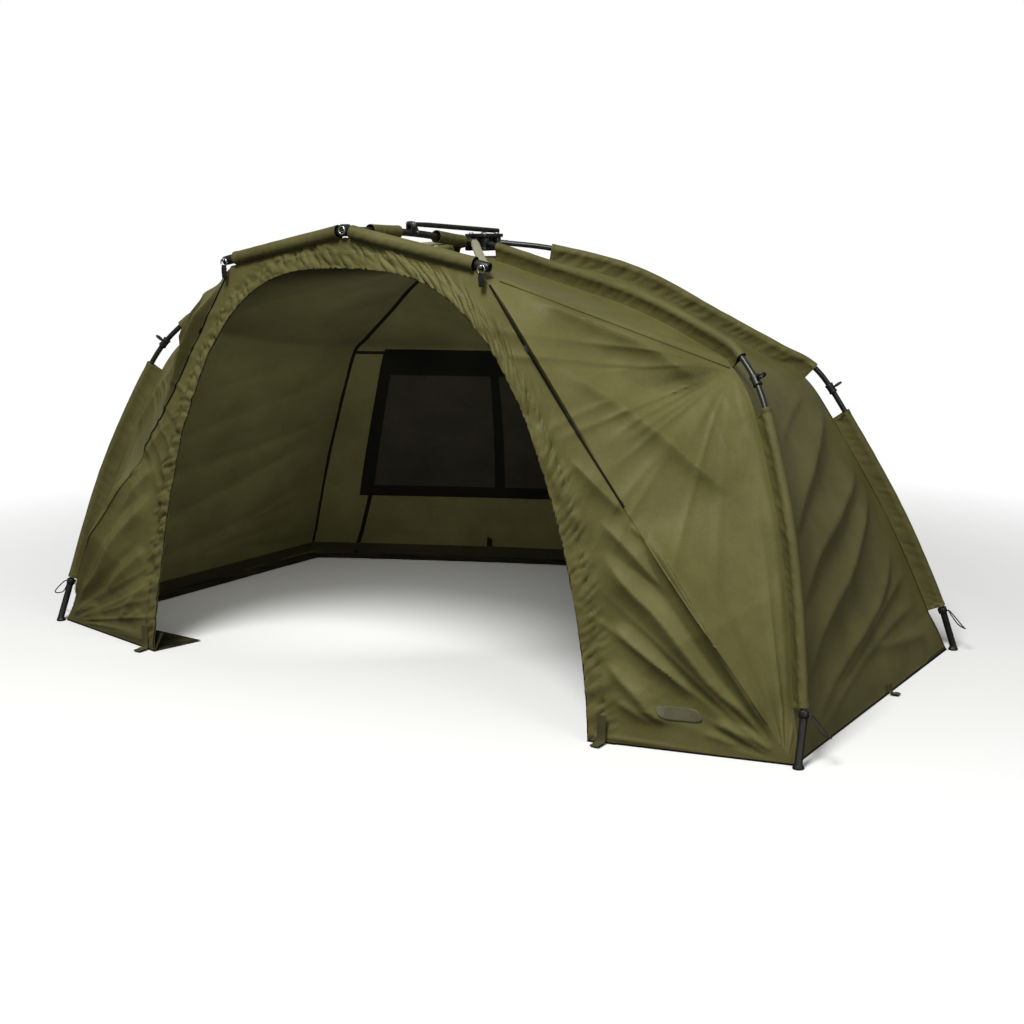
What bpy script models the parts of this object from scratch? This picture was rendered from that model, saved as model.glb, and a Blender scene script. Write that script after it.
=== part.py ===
"""Fishing shelter: a low oval canopy over four bent legs that turn in a hub,
with a folding peak, a tension lever, a windowed back wall and a skirt.

The origin is at the bottom centre of the shelter's box. +X runs to the right
along the long side, +Y to the back wall and +Z up. All sizes are in metres.
"""

import math

import bmesh
import bpy
import numpy as np
from mathutils import Matrix, Vector

# Stance
FOOT_SPAN = 2.56  # front feet, centre to centre
REAR_SPAN = 2.53  # rear feet, centre to centre
BASE_DEPTH = 1.227  # front feet to rear feet
BACK_REACH = 0.510  # how far the back wall's foot bows past the rear feet
DOOR_REACH = 0.103  # how far the doorway's foot stands before the front feet
DEPTH = DOOR_REACH + BASE_DEPTH + BACK_REACH
FRONT_LINE = DOOR_REACH - DEPTH / 2  # Y of the front feet

# Hub, two plates on four pins
HUB_BACK = 0.565  # hub centre behind the front feet
ARM_HEIGHT = 1.218  # middle of the legs' upper ends
HUB_LENGTH = 0.100
HUB_WIDTH = 0.076
PLATE = 0.010
PLATE_ROUND = 0.008
PIN_OUT = 0.024
PIN_APART = 0.032  # pins before and behind the hub's centre
PIN_RADIUS = 0.004
PIN_HEAD = 0.0068
PIN_HEAD_HIGH = 0.003
LUG_RADIUS = 0.0125
LUG_HIGH = 0.028
CORE_SIZE = 0.016
CORE_LONG = 0.090
CHEEK_GRIP = 0.0035  # cheeks' hold in the hub's end
LUG_BITE = 0.010  # a tube's start inside its lug
HUB_Y = FRONT_LINE + HUB_BACK

# Legs: one bent tube each, from the hub over a shoulder to the ground
TUBE_RADIUS = 0.008
SHOULDER_FRONT = (0.970, 0.285, 0.951)  # out, behind the front feet, up
SHOULDER_REAR = (0.870, 1.025, 0.852)
ARM_STATIONS = 8
LEG_STATIONS = 9
# Share of the way, then how far the tube bows outwards, back and up there
FRONT_ARM_BOW = ((0.30, 0, 0.020, 0.016), (0.63, 0, 0.012, 0.039), (0.91, 0, 0.002, 0.024))
FRONT_LEG_BOW = ((0.133, 0.054, -0.011, 0), (0.474, 0.073, -0.010, 0), (0.862, 0.033, 0.005, 0))
REAR_ARM_BOW = ((0.20, 0, 0, 0.050), (0.45, 0, 0, 0.078), (0.70, 0, 0, 0.045), (0.89, 0, 0, 0.018))
REAR_LEG_BOW = ((0.153, 0.023, 0.012, 0), (0.498, 0.040, 0.021, 0), (0.842, 0.025, 0.013, 0))
BARE_TUBE = 0.160  # tube without its sleeve below each shoulder
BARE_AT_HUB_FRONT = 0.055
BARE_AT_HUB_REAR = 0.165

# Leg ends
FERRULE_HIGH = 0.131
FERRULE_RADIUS = 0.0100
FERRULE_LIP = 0.0145
FERRULE_COLLAR = 0.0135
COLLAR_HIGH = 0.016
COLLAR_SLOPE = 0.002
LIP_HIGH = 0.012
SLEEVE_END_GAP = 0.006
NEAR_END = 0.004  # no station of a sleeve or tube this near its ends

# Collar and its eye on each bare stretch of tube
EYE_COLLAR_RADIUS = 0.0125
EYE_COLLAR_LONG = 0.030
EYE_RING = 0.0100
EYE_WIRE = 0.0034

# Cord loop on each leg end
CORD_RADIUS = 0.0018
CORD_EXIT = 0.0002  # cord's ends off the collar
# Out, back and up from the collar's middle
CORD_OUT = ((0.020, -0.0045, 0.001), (0.032, -0.012, -0.010), (0.056, -0.017, -0.034))
CORD_BACK = ((0.072, 0, -0.048), (0.058, 0.016, -0.045), (0.034, 0.012, -0.018))
CORD_END = (0.020, 0.0045, -0.001)

# Cloth
CLOTH = 0.0016
SKIN_DROP = 0.040  # cloth hangs this far inside a leg's middle
SLEEVE_RADIUS = 0.0135
FIN_HALF = 0.002
FIT = 0.0003
SEAM_HALF = 0.0017
HEM_LIFT = 0.0010

# Peak: spine, two bars and two ribs that fold down in front of the hub
HINGE_BEFORE_HUB = 0.062
APEX_REACH = 0.092  # apex before the front feet
APEX_RISE = 0.044  # apex above the legs' upper ends
CORNER_OUT = 0.421
CORNER_REACH = 0.074
CORNER_DROP = 0.040  # corners below them
SPINE_RADIUS = 0.010
SPINE_BOW = 0.010
SPINE_STATIONS = 8
EYE_RADIUS = 0.0125
EYE_HALF = 0.0110
EYE_BITE = 0.010  # spine's start inside its eye
CHEEK_THICK = 0.006
CHEEK_TIP = 0.009  # cheeks' reach before the hinge
YOKE_BEFORE_HINGE = 0.040
YOKE_HALF = 0.026
YOKE_RADIUS = 0.009
APEX_RADIUS = 0.016
APEX_LONG = 0.030
BAR_RADIUS = 0.008
BAR_SLEEVE = 0.019
RIB_RADIUS = 0.008
CORNER_BLOCK_RADIUS = 0.0155
CORNER_BLOCK_LONG = 0.052
CORNER_BLOCK_BEFORE = 0.016  # of the block's length before the corner
BAR_BARE = 0.018
BAR_SLEEVE_GAP = 0.004
SPINE_SLEEVE = 0.0185
SPINE_SLEEVE_GAP = 0.012
SPINE_BARE_FROM = 0.140  # behind the front feet
SPINE_BARE_TO = 0.319
SPINE_SLEEVE_TIP = 0.015

# Tension lever over the spine
LEVER_PIVOT = 0.200  # behind the front feet
LEVER_RISE = 0.024  # pivot above the spine's middle
LEVER_END = 0.640
LEVER_RADIUS = 0.0055
LEVER_EYE = 0.0085
LEVER_EYE_HALF = 0.006
LEVER_BITE = 0.005
TRUNNION = 0.0035
TRUNNION_HEAD = 0.0075
TRUNNION_HEAD_THICK = 0.003
EAR_THICK = 0.004
EAR_LONG = 0.020
EAR_PAST = 0.014  # ears' height past the pivot's rise

# Doorway and canopy
DOOR_HALF = 0.755
DOOR_DROP = 0.058  # arch below the legs' upper ends
DOOR_SIDE_POWER = 1.4
DOOR_TOP_POWER = 3.0
DOOR_FOOT_OUT = 0.755
DOOR_FLARE_HIGH = 0.30
DOOR_PLANE = 0.090  # door face before the front feet
ZIP_MIDDLE = (0.805, -0.045, 0.614)
WALL_POWER = 1.25  # roundness of the back wall seen from above
WALL_LEAN_POWER = 0.8  # how late the back wall's bow fades with height
SIDE_SAG = 0.018
ROOF_SAG = 0.010
CROWN_SHARE = 0.18  # of the way to the first station, where the cloth ends
CROWN_HALF = 0.032
CROWN_BEFORE_HINGE = 0.075
CROWN_DROP = 0.003
WING_TIP_SHARE = 0.2

# Folds in the cloth, each with its width and its height
WALL_FOLDS = ((0.05, 0.016), (0.06, 0.012), (0.04, -0.012))
WING_FOLDS = ((0.045, 0.020), (0.040, 0.018), (0.035, 0.018), (0.030, -0.012))

# Window in the back wall
WINDOW_LOW = 0.258
WINDOW_TOP = 0.809
WINDOW_SHARE = 0.875  # of the way from the middle to the rear legs
BAND = 0.060
WINDOW_BAR_SHARE = 0.44
ROW_APART = 0.03

# Skirt inside the walls
SKIRT_HIGH = 0.052
SKIRT_WIDE = 0.075
SKIRT_CLEAR = 0.0024
SKIRT_LEAN = 0.55
FLAP_WIDE = 0.165  # skirt's flap on the ground beside the doorway

# Hanging clips under the peak's corners
CLIP_LONG = 0.058
CLIP_WIDE = 0.016
CLIP_THICK = 0.006

SIDES = (("left", -1), ("right", 1))

for old in list(bpy.data.objects):
    bpy.data.objects.remove(old, do_unlink=True)

shelter = bpy.data.collections.new("fishing_shelter")
bpy.context.scene.collection.children.link(shelter)
cutters = bpy.data.collections.new("cutters")
bpy.context.scene.collection.children.link(cutters)


def material(name, colour, rough, metal=0.0):
    made = bpy.data.materials.new(name)
    made.use_nodes = True
    shader = made.node_tree.nodes["Principled BSDF"]
    shader.inputs["Base Color"].default_value = (*colour, 1.0)
    shader.inputs["Roughness"].default_value = rough
    shader.inputs["Metallic"].default_value = metal
    return made


canopy_cloth = material("canopy_cloth", (0.140, 0.132, 0.060), 0.62)
sleeve_cloth = material("sleeve_cloth", (0.105, 0.100, 0.045), 0.70)
strap_cloth = material("strap_cloth", (0.250, 0.245, 0.165), 0.75)
black_cloth = material("black_cloth", (0.010, 0.010, 0.009), 0.80)
window_mesh_cloth = material("window_mesh_cloth", (0.030, 0.030, 0.024), 0.85)
black_tube = material("black_tube", (0.014, 0.016, 0.012), 0.38, 0.5)
black_plastic = material("black_plastic", (0.012, 0.013, 0.011), 0.50)
bright_pin = material("bright_pin", (0.62, 0.62, 0.60), 0.30, 1.0)
black_cord = material("black_cord", (0.014, 0.015, 0.012), 0.70)


def keep(name, mesh, look, collection=shelter):
    """A mesh as a named object with its material."""
    made = bpy.data.objects.new(name, mesh)
    collection.objects.link(made)
    mesh.materials.clear()
    mesh.materials.append(look)
    return made


def from_bmesh(name, bm, look, collection=shelter):
    mesh = bpy.data.meshes.new(name)
    bmesh.ops.recalc_face_normals(bm, faces=bm.faces)
    bm.to_mesh(mesh)
    bm.free()
    return keep(name, mesh, look, collection)


def cutter(made):
    made.hide_render = True
    made.display_type = "WIRE"
    return made


def boolean(target, tool, operation):
    tool.parent = tool.parent or target
    change = target.modifiers.new(operation.lower(), "BOOLEAN")
    change.operation = operation
    change.solver = "EXACT"
    change.object = tool


def cylinder(name, middle, axis, radius, length, look, sides=12, collection=shelter):
    bm = bmesh.new()
    turn = Vector(axis).to_track_quat("Z", "Y").to_matrix().to_4x4()
    bmesh.ops.create_cone(
        bm,
        cap_ends=True,
        segments=sides,
        radius1=radius,
        radius2=radius,
        depth=length,
        matrix=Matrix.Translation(Vector(middle)) @ turn,
    )
    return from_bmesh(name, bm, look, collection)


def box(name, middle, size, look, corner_round=0.0, collection=shelter):
    """A block whose upright edges may be rounded."""
    bm = bmesh.new()
    bmesh.ops.create_cube(bm, size=1.0)
    bmesh.ops.scale(bm, vec=Vector(size), verts=bm.verts)
    bmesh.ops.translate(bm, vec=Vector(middle), verts=bm.verts)
    if corner_round:
        upright = [e for e in bm.edges if abs(e.verts[0].co.z - e.verts[1].co.z) > size[2] / 2]
        bmesh.ops.bevel(
            bm, geom=upright, offset=corner_round, segments=3, profile=0.5, affect="EDGES"
        )
    return from_bmesh(name, bm, look, collection)


def turned(name, middle, profile, look):
    """A profile of (radius, height), from its top down, turned about Z."""
    mesh = bpy.data.meshes.new(name)
    edges = [(i, i + 1) for i in range(len(profile) - 1)]
    mesh.from_pydata([(x, 0, z) for x, z in profile], edges, [])
    made = keep(name, mesh, look)
    made.location = middle
    turn = made.modifiers.new("turn", "SCREW")
    turn.steps = turn.render_steps = 12
    turn.use_merge_vertices = True
    turn.merge_threshold = 0.00001
    return made


def ring(name, middle, axis, radius, wire, look, collection=shelter):
    bpy.ops.mesh.primitive_torus_add(
        major_radius=radius,
        minor_radius=wire,
        major_segments=14,
        minor_segments=6,
        location=middle,
        rotation=Vector(axis).to_track_quat("Z", "Y").to_euler(),
    )
    made = bpy.context.object
    for home in list(made.users_collection):
        home.objects.unlink(made)
    made.name = name
    made.data.materials.append(look)
    collection.objects.link(made)
    return made


def smooth(points, steps):
    """An evenly spaced polyline on a smooth curve through the points."""
    p = np.array(points, float)
    p = np.vstack([2 * p[0] - p[1], p, 2 * p[-1] - p[-2]])
    line = []
    for a, b, c, d in zip(p[:-3], p[1:-2], p[2:-1], p[3:]):
        for t in np.linspace(0, 1, 24, endpoint=False):
            line.append(
                0.5
                * (
                    2 * b
                    + (c - a) * t
                    + (2 * a - 5 * b + 4 * c - d) * t**2
                    + (3 * b - a - 3 * c + d) * t**3
                )
            )
    line.append(p[-2])
    return even(np.array(line), steps)


def lengths(line):
    return np.concatenate([[0], np.cumsum(np.linalg.norm(np.diff(line, axis=0), axis=1))])


def even(line, steps):
    along = lengths(line)
    at = np.linspace(0, along[-1], steps + 1)
    return np.stack([np.interp(at, along, line[:, k]) for k in range(3)], axis=1)


def at_length(line, distance):
    along = lengths(line)
    return np.array([np.interp(distance, along, line[:, k]) for k in range(3)])


def length_at_height(line, height):
    """Distance along a line that comes down to the ground, at a height."""
    along = lengths(line)
    return float(np.interp(-height, -line[:, 2], along))


def stretch(line, start, end):
    """Part of a polyline, with its own corners kept."""
    along = lengths(line)
    inside = [p for p, d in zip(line, along) if start + NEAR_END < d < end - NEAR_END]
    return np.array([at_length(line, start), *inside, at_length(line, end)])


def tangents(line):
    step = np.gradient(np.array(line, float), axis=0)
    return step / np.linalg.norm(step, axis=1)[:, None]


def outwards(line):
    """Directions square to a leg's line that point away from the inside."""
    line = np.array(line, float)
    away = line - line[0]
    away[0] = away[1]
    away[:, 2] = 0
    away /= np.linalg.norm(away, axis=1)[:, None]
    guess = 0.55 * away + np.array([0, 0, 0.85])
    along = tangents(line)
    guess -= np.sum(guess * along, axis=1)[:, None] * along
    return guess / np.linalg.norm(guess, axis=1)[:, None]


def tube(name, line, radius, look, sides=8):
    """A round bar along a polyline, as a bevelled curve made into a mesh. The
    radius is one number, or one for each point."""
    radii = np.broadcast_to(radius, len(line))
    curve = bpy.data.curves.new(name, "CURVE")
    curve.dimensions = "3D"
    curve.bevel_depth = radii.max()
    curve.bevel_resolution = sides // 2 - 2
    curve.use_fill_caps = True
    spline = curve.splines.new("POLY")
    spline.points.add(len(line) - 1)
    for point, spot, r in zip(spline.points, line, radii):
        point.co = (*spot, 1.0)
        point.radius = r / radii.max()
    drawn = bpy.data.objects.new(name, curve)
    shelter.objects.link(drawn)
    bpy.context.view_layer.update()
    graph = bpy.context.evaluated_depsgraph_get()
    mesh = bpy.data.meshes.new_from_object(drawn.evaluated_get(graph))
    bpy.data.objects.remove(drawn, do_unlink=True)
    bm = bmesh.new()
    bm.from_mesh(mesh)
    bmesh.ops.remove_doubles(bm, verts=bm.verts, dist=0.00001)
    return from_bmesh(name, bm, look)


def sweep(name, line, ups, outer, inner, look):
    """A sleeve along a polyline. Outer and inner are (sideways, up) sections
    with as many points as each other; no inner section makes a solid bar."""
    bm = bmesh.new()
    along = tangents(line)
    rings = []
    for section in [outer] if inner is None else [outer, inner]:
        layer = []
        for spot, forward, up in zip(line, along, ups):
            side = np.cross(forward, up)
            layer.append([bm.verts.new(spot + side * x + up * z) for x, z in section])
        rings.append(layer)
    n = len(outer)
    for layer in rings:
        for a, b in zip(layer, layer[1:]):
            for i in range(n):
                bm.faces.new((a[i], a[(i + 1) % n], b[(i + 1) % n], b[i]))
    for end in (0, -1):
        if inner is None:
            bm.faces.new(rings[0][end])
            continue
        for i in range(n):
            j = (i + 1) % n
            bm.faces.new((rings[0][end][i], rings[0][end][j], rings[1][end][j], rings[1][end][i]))
    return from_bmesh(name, bm, look)


def ring_section(radius, sides=8):
    turn = [2 * math.pi * (i + 0.5) / sides for i in range(sides)]
    return [(radius * math.sin(a), radius * math.cos(a)) for a in turn]


def bore_section(radius, sides=8):
    """A bore whose flats clear a round bar of this radius."""
    return ring_section((radius + FIT) / math.cos(math.pi / sides), sides)


def fin_section():
    """A leg's sleeve: round over the tube, drawn in to the cloth below."""
    r = SLEEVE_RADIUS
    low = -SKIN_DROP + FIT
    half = [(0.42 * r, 0.95 * r), (r, 0.25 * r), (0.80 * r, -0.95 * r), (FIN_HALF, low)]
    return half + [(-x, z) for x, z in reversed(half)]


def sheet(name, grid, look, hole=None):
    """Cloth through a grid of points, thickened towards the inside. The grid's
    rows run down and its columns run left to right, seen from outside."""
    grid = np.array(grid, float)
    rows, columns = grid.shape[:2]
    bm = bmesh.new()
    verts = [[bm.verts.new(p) for p in row] for row in grid]
    for i in range(rows - 1):
        for j in range(columns - 1):
            if hole and hole(i, j):
                continue
            bm.faces.new((verts[i][j], verts[i + 1][j], verts[i + 1][j + 1], verts[i][j + 1]))
    for loose in [v for v in bm.verts if not v.link_faces]:
        bm.verts.remove(loose)
    mesh = bpy.data.meshes.new(name)
    bm.to_mesh(mesh)
    bm.free()
    made = keep(name, mesh, look)
    thick = made.modifiers.new("thickness", "SOLIDIFY")
    thick.thickness = CLOTH
    thick.offset = -1
    return made


def inset(grid, left=0.0, right=0.0, top=0.0, bottom=0.0):
    """The grid with its borders drawn in by these distances."""
    grid = np.array(grid, float)
    for border, line, next_line in (
        (left, grid[:, 0], grid[:, 1]),
        (right, grid[:, -1], grid[:, -2]),
        (top, grid[0], grid[1]),
        (bottom, grid[-1], grid[-2]),
    ):
        step = next_line - line
        line += border * step / np.maximum(np.linalg.norm(step, axis=1), 1e-6)[:, None]
    return grid


def loft(first, last, columns):
    """Rows of points from one line to the other."""
    share = np.linspace(0, 1, columns + 1)[None, :, None]
    return first[:, None] * (1 - share) + last[:, None] * share


def normals(grid):
    down = np.gradient(grid, axis=0)
    across = np.gradient(grid, axis=1)
    n = np.cross(down, across)
    return n / np.maximum(np.linalg.norm(n, axis=2), 1e-9)[:, :, None]


def fold(grid, start, end, width, height):
    """A ridge in the cloth from one point to another, fading at both ends."""
    start, end = np.array(start), np.array(end)
    way = end - start
    share = np.clip((grid - start) @ way / (way @ way), 0, 1)
    apart = np.linalg.norm(grid - (start + share[:, :, None] * way), axis=2)
    rise = height * np.exp(-((apart / width) ** 2)) * np.sin(np.pi * share) ** 0.7
    border = np.ones(grid.shape[:2])
    border[0] = border[-1] = 0
    border[:, 0] = border[:, -1] = 0
    return grid + normals(grid) * (rise * border)[:, :, None]


def sag(grid, depth):
    """Cloth pulled in between its borders."""
    rows, columns = grid.shape[:2]
    down = np.sin(np.pi * np.linspace(0, 1, rows))[:, None]
    across = np.sin(np.pi * np.linspace(0, 1, columns))[None, :]
    return grid - normals(grid) * (depth * down * across)[:, :, None]


def seen(grid, side):
    """Columns in the order that faces them outwards on this side."""
    return grid if side > 0 else grid[:, ::-1]


def between(a, b, bows):
    a, b = np.array(a), np.array(b)
    return [a + (b - a) * share + np.array(bow) for share, *bow in bows]


def mirrored(line, side):
    return np.array(line, float) * np.array([side, 1, 1])


# Legs' middle lines, for the right-hand side
def leg_line(pin, shoulder, foot, arm_bow, leg_bow):
    shape = [pin, *between(pin, shoulder, arm_bow), shoulder]
    shape += [*between(shoulder, foot, leg_bow), foot]
    whole = smooth(shape, 400)
    turn = int(np.argmin(np.linalg.norm(whole - np.array(shoulder), axis=1)))
    arm = even(whole[: turn + 1], ARM_STATIONS)
    leg = even(whole[turn:], LEG_STATIONS)
    return np.vstack([arm, leg[1:]])


def place(out, behind, up):
    return np.array([out, FRONT_LINE + behind, up])


FRONT_PIN = np.array([PIN_OUT, HUB_Y - PIN_APART, ARM_HEIGHT])
REAR_PIN = np.array([PIN_OUT, HUB_Y + PIN_APART, ARM_HEIGHT])
FRONT_LEG = leg_line(
    FRONT_PIN,
    place(*SHOULDER_FRONT),
    place(FOOT_SPAN / 2, 0, 0),
    FRONT_ARM_BOW,
    FRONT_LEG_BOW,
)
REAR_LEG = leg_line(
    REAR_PIN,
    place(*SHOULDER_REAR),
    place(REAR_SPAN / 2, BASE_DEPTH, 0),
    REAR_ARM_BOW,
    REAR_LEG_BOW,
)


def skin_line(leg):
    """The cloth's line inside a leg, drawn in to the crown at the hub."""
    line = leg - outwards(leg) * SKIN_DROP
    line[0] += (line[1] - line[0]) * CROWN_SHARE
    line[-1, 2] = HEM_LIFT
    return line


FRONT_SKIN = skin_line(FRONT_LEG)
REAR_SKIN = skin_line(REAR_LEG)

# Hub
lug_low = ARM_HEIGHT - LUG_HIGH / 2
lug_top = ARM_HEIGHT + LUG_HIGH / 2
hinge_y = HUB_Y - HINGE_BEFORE_HUB
plate_size = (HUB_WIDTH, HUB_LENGTH, PLATE)

hub_base = box(
    "hub_base", (0, HUB_Y, lug_low - FIT - PLATE / 2), plate_size, black_plastic, PLATE_ROUND
)
core = box(
    "core",
    (0, HUB_Y, ARM_HEIGHT - FIT),
    (CORE_SIZE, CORE_LONG, LUG_HIGH + FIT),
    black_plastic,
    collection=cutters,
)
boolean(hub_base, cutter(core), "UNION")
cheek_long = HINGE_BEFORE_HUB + CHEEK_TIP - HUB_LENGTH / 2 + CHEEK_GRIP
for name, side in SIDES:
    cheek = box(
        f"cheek_{name}",
        (
            side * (EYE_HALF + FIT + CHEEK_THICK / 2),
            hinge_y - CHEEK_TIP + cheek_long / 2,
            ARM_HEIGHT - PLATE / 2 - FIT,
        ),
        (CHEEK_THICK, cheek_long, LUG_HIGH + PLATE),
        black_plastic,
        collection=cutters,
    )
    boolean(hub_base, cutter(cheek), "UNION")
hub_cap = box(
    "hub_cap", (0, HUB_Y, lug_top + FIT + PLATE / 2), plate_size, black_plastic, PLATE_ROUND
)
shank_low = lug_low - FIT - PLATE
shank_top = lug_top + FIT + PLATE + FIT
pin_profile = (
    (0.0, shank_top + PIN_HEAD_HIGH),
    (PIN_HEAD, shank_top + PIN_HEAD_HIGH),
    (PIN_HEAD, shank_top),
    (PIN_RADIUS, shank_top),
    (PIN_RADIUS, shank_low),
    (0.0, shank_low),
)

for row, pin in (("front", FRONT_PIN), ("rear", REAR_PIN)):
    for name, side in SIDES:
        spot = mirrored(pin, side)
        drill = cylinder(
            f"drill_{row}_{name}",
            spot,
            (0, 0, 1),
            PIN_RADIUS + FIT,
            LUG_HIGH + 4 * PLATE,
            black_plastic,
            collection=cutters,
        )
        boolean(hub_base, cutter(drill), "DIFFERENCE")
        boolean(hub_cap, drill, "DIFFERENCE")
        turned(f"arm_pin_{row}_{name}", (spot[0], spot[1], 0), pin_profile, bright_pin)

hinge_hole = cylinder(
    "hinge_hole",
    (0, hinge_y, ARM_HEIGHT),
    (1, 0, 0),
    PIN_RADIUS + FIT,
    HUB_WIDTH,
    black_plastic,
    collection=cutters,
)
boolean(hub_base, cutter(hinge_hole), "DIFFERENCE")
cylinder(
    "peak_pin",
    (0, hinge_y, ARM_HEIGHT),
    (1, 0, 0),
    PIN_RADIUS,
    2 * (EYE_HALF + FIT + CHEEK_THICK),
    bright_pin,
)

# Legs, leg ends, collars, cords and sleeves
LEGS = (
    ("front", FRONT_LEG, BARE_AT_HUB_FRONT),
    ("rear", REAR_LEG, BARE_AT_HUB_REAR),
)
for row, right_line, bare_at_hub in LEGS:
    for name, side in SIDES:
        line = mirrored(right_line, side)
        ups = outwards(line)
        along = lengths(line)
        shoulder_at = along[ARM_STATIONS]
        end_at = length_at_height(line, FERRULE_HIGH)
        tag = f"{row}_{name}"

        arm = tube(
            f"leg_tube_{tag}",
            stretch(line, LUG_BITE, end_at - FIT),
            TUBE_RADIUS,
            black_tube,
        )
        lug = cylinder(
            f"lug_{tag}", line[0], (0, 0, 1), LUG_RADIUS, LUG_HIGH, black_tube, 16, cutters
        )
        boolean(arm, cutter(lug), "UNION")
        bore = cylinder(
            f"bore_{tag}",
            line[0],
            (0, 0, 1),
            PIN_RADIUS + FIT,
            2 * LUG_HIGH,
            black_tube,
            collection=cutters,
        )
        boolean(arm, cutter(bore), "DIFFERENCE")

        foot = line[-1]
        top = at_length(line, end_at)
        down = top - at_length(line, end_at - COLLAR_HIGH)
        down /= np.linalg.norm(down)
        collar_low = top + down * COLLAR_HIGH
        lip_top = foot + np.array([0, 0, LIP_HIGH])
        slope = (lip_top - collar_low) / np.linalg.norm(lip_top - collar_low)
        tube(
            f"foot_{tag}",
            [top, collar_low, collar_low + slope * COLLAR_SLOPE, lip_top, foot],
            [FERRULE_COLLAR, FERRULE_COLLAR, FERRULE_RADIUS, FERRULE_RADIUS, FERRULE_LIP],
            black_plastic,
            12,
        )

        bare_middle = shoulder_at + BARE_TUBE / 2
        collar_line = np.array(
            [
                at_length(line, bare_middle - EYE_COLLAR_LONG / 2),
                at_length(line, bare_middle + EYE_COLLAR_LONG / 2),
            ]
        )
        collar_up = outwards(line[ARM_STATIONS : ARM_STATIONS + 3])[1]
        collar = sweep(
            f"eye_collar_{tag}",
            collar_line,
            [collar_up, collar_up],
            ring_section(EYE_COLLAR_RADIUS, 12),
            bore_section(TUBE_RADIUS, 12),
            black_plastic,
        )
        eye_middle = collar_line.mean(axis=0) + collar_up * (
            EYE_COLLAR_RADIUS + EYE_RING + EYE_WIRE * 0.2
        )
        eye_side = np.cross(tangents(collar_line)[0], collar_up)
        eye = ring(
            f"eye_{tag}", eye_middle, eye_side, EYE_RING, EYE_WIRE, black_plastic, cutters
        )
        boolean(collar, cutter(eye), "UNION")

        out = np.array([side, 0.0, 0.0])
        back = np.array([0.0, 1.0, 0.0])
        root = at_length(line, end_at + COLLAR_HIGH / 2)
        lean = abs(down[0])
        leaves = (FERRULE_COLLAR + CORD_RADIUS * lean) / math.sqrt(1 - lean**2) + CORD_EXIT
        route = [(leaves, -0.004, 0.001), *CORD_OUT, *CORD_BACK, CORD_END, (leaves, 0.004, 0)]
        loop = smooth([root + out * x + back * y + np.array([0, 0, z]) for x, y, z in route], 20)
        tube(f"foot_cord_{tag}", loop, CORD_RADIUS, black_cord)

        for part, start, end in (
            ("upper", bare_at_hub, shoulder_at - FIT),
            ("lower", shoulder_at + BARE_TUBE, end_at - SLEEVE_END_GAP),
        ):
            run_line = stretch(line, start, end)
            spread = np.array(
                [
                    [np.interp(d, along, ups[:, k]) for k in range(3)]
                    for d in [start]
                    + [d for d in along if start + NEAR_END < d < end - NEAR_END]
                    + [end]
                ]
            )
            sweep(
                f"sleeve_{part}_{tag}",
                run_line,
                spread,
                fin_section(),
                bore_section(TUBE_RADIUS),
                sleeve_cloth,
            )

# Peak: spine with its eye, yoke and lever bracket
hinge = np.array([0, hinge_y, ARM_HEIGHT])
apex = place(0, -APEX_REACH, ARM_HEIGHT + APEX_RISE)
corner = place(CORNER_OUT, -CORNER_REACH, ARM_HEIGHT - CORNER_DROP)
spine_line = smooth(
    [
        hinge + (0, -EYE_BITE, 0),
        (hinge + apex) / 2 + (0, 0, SPINE_BOW),
        apex + (0, APEX_LONG / 2 + 3 * FIT, 0),
    ],
    SPINE_STATIONS,
)
spine = tube("spine_tube", spine_line, SPINE_RADIUS, black_tube)
spine_eye = cylinder(
    "spine_eye", hinge, (1, 0, 0), EYE_RADIUS, 2 * EYE_HALF, black_tube, 16, cutters
)
boolean(spine, cutter(spine_eye), "UNION")


def spine_at(behind):
    """The spine's middle at a distance behind the front feet."""
    y = FRONT_LINE + behind
    order = spine_line[::-1]
    return np.array([0, y, np.interp(y, order[:, 1], order[:, 2])])


def spine_length(behind):
    y = FRONT_LINE + behind
    return float(np.interp(-y, -spine_line[:, 1], lengths(spine_line)))


yoke_behind = HUB_BACK - HINGE_BEFORE_HUB - YOKE_BEFORE_HINGE
yoke = cylinder(
    "yoke",
    spine_at(yoke_behind),
    (1, 0, 0),
    YOKE_RADIUS,
    2 * YOKE_HALF,
    black_tube,
    12,
    cutters,
)
boolean(spine, cutter(yoke), "UNION")
pivot = spine_at(LEVER_PIVOT) + (0, 0, LEVER_RISE)
for name, side in SIDES:
    ear = box(
        f"ear_{name}",
        pivot + (side * (LEVER_EYE_HALF + FIT + EAR_THICK / 2), 0, -LEVER_RISE / 2),
        (EAR_THICK, EAR_LONG, LEVER_RISE + EAR_PAST),
        black_tube,
        collection=cutters,
    )
    boolean(spine, cutter(ear), "UNION")
for tag, spot, radius in (("pivot", pivot, TRUNNION), ("hinge", hinge, PIN_RADIUS)):
    hole = cylinder(
        f"spine_hole_{tag}",
        spot,
        (1, 0, 0),
        radius + FIT,
        HUB_WIDTH,
        black_tube,
        collection=cutters,
    )
    boolean(spine, cutter(hole), "DIFFERENCE")

for tag, start, end in (
    ("front", SPINE_SLEEVE_TIP, SPINE_BARE_FROM),
    ("rear", SPINE_BARE_TO, yoke_behind - SPINE_SLEEVE_GAP),
):
    first, last = spine_length(end), spine_length(start)
    sleeve_line = stretch(spine_line, first, last)
    sweep(
        f"spine_sleeve_{tag}",
        sleeve_line,
        [np.array([0, 0, 1.0])] * len(sleeve_line),
        ring_section(SPINE_SLEEVE),
        bore_section(SPINE_RADIUS),
        sleeve_cloth,
    )

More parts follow.
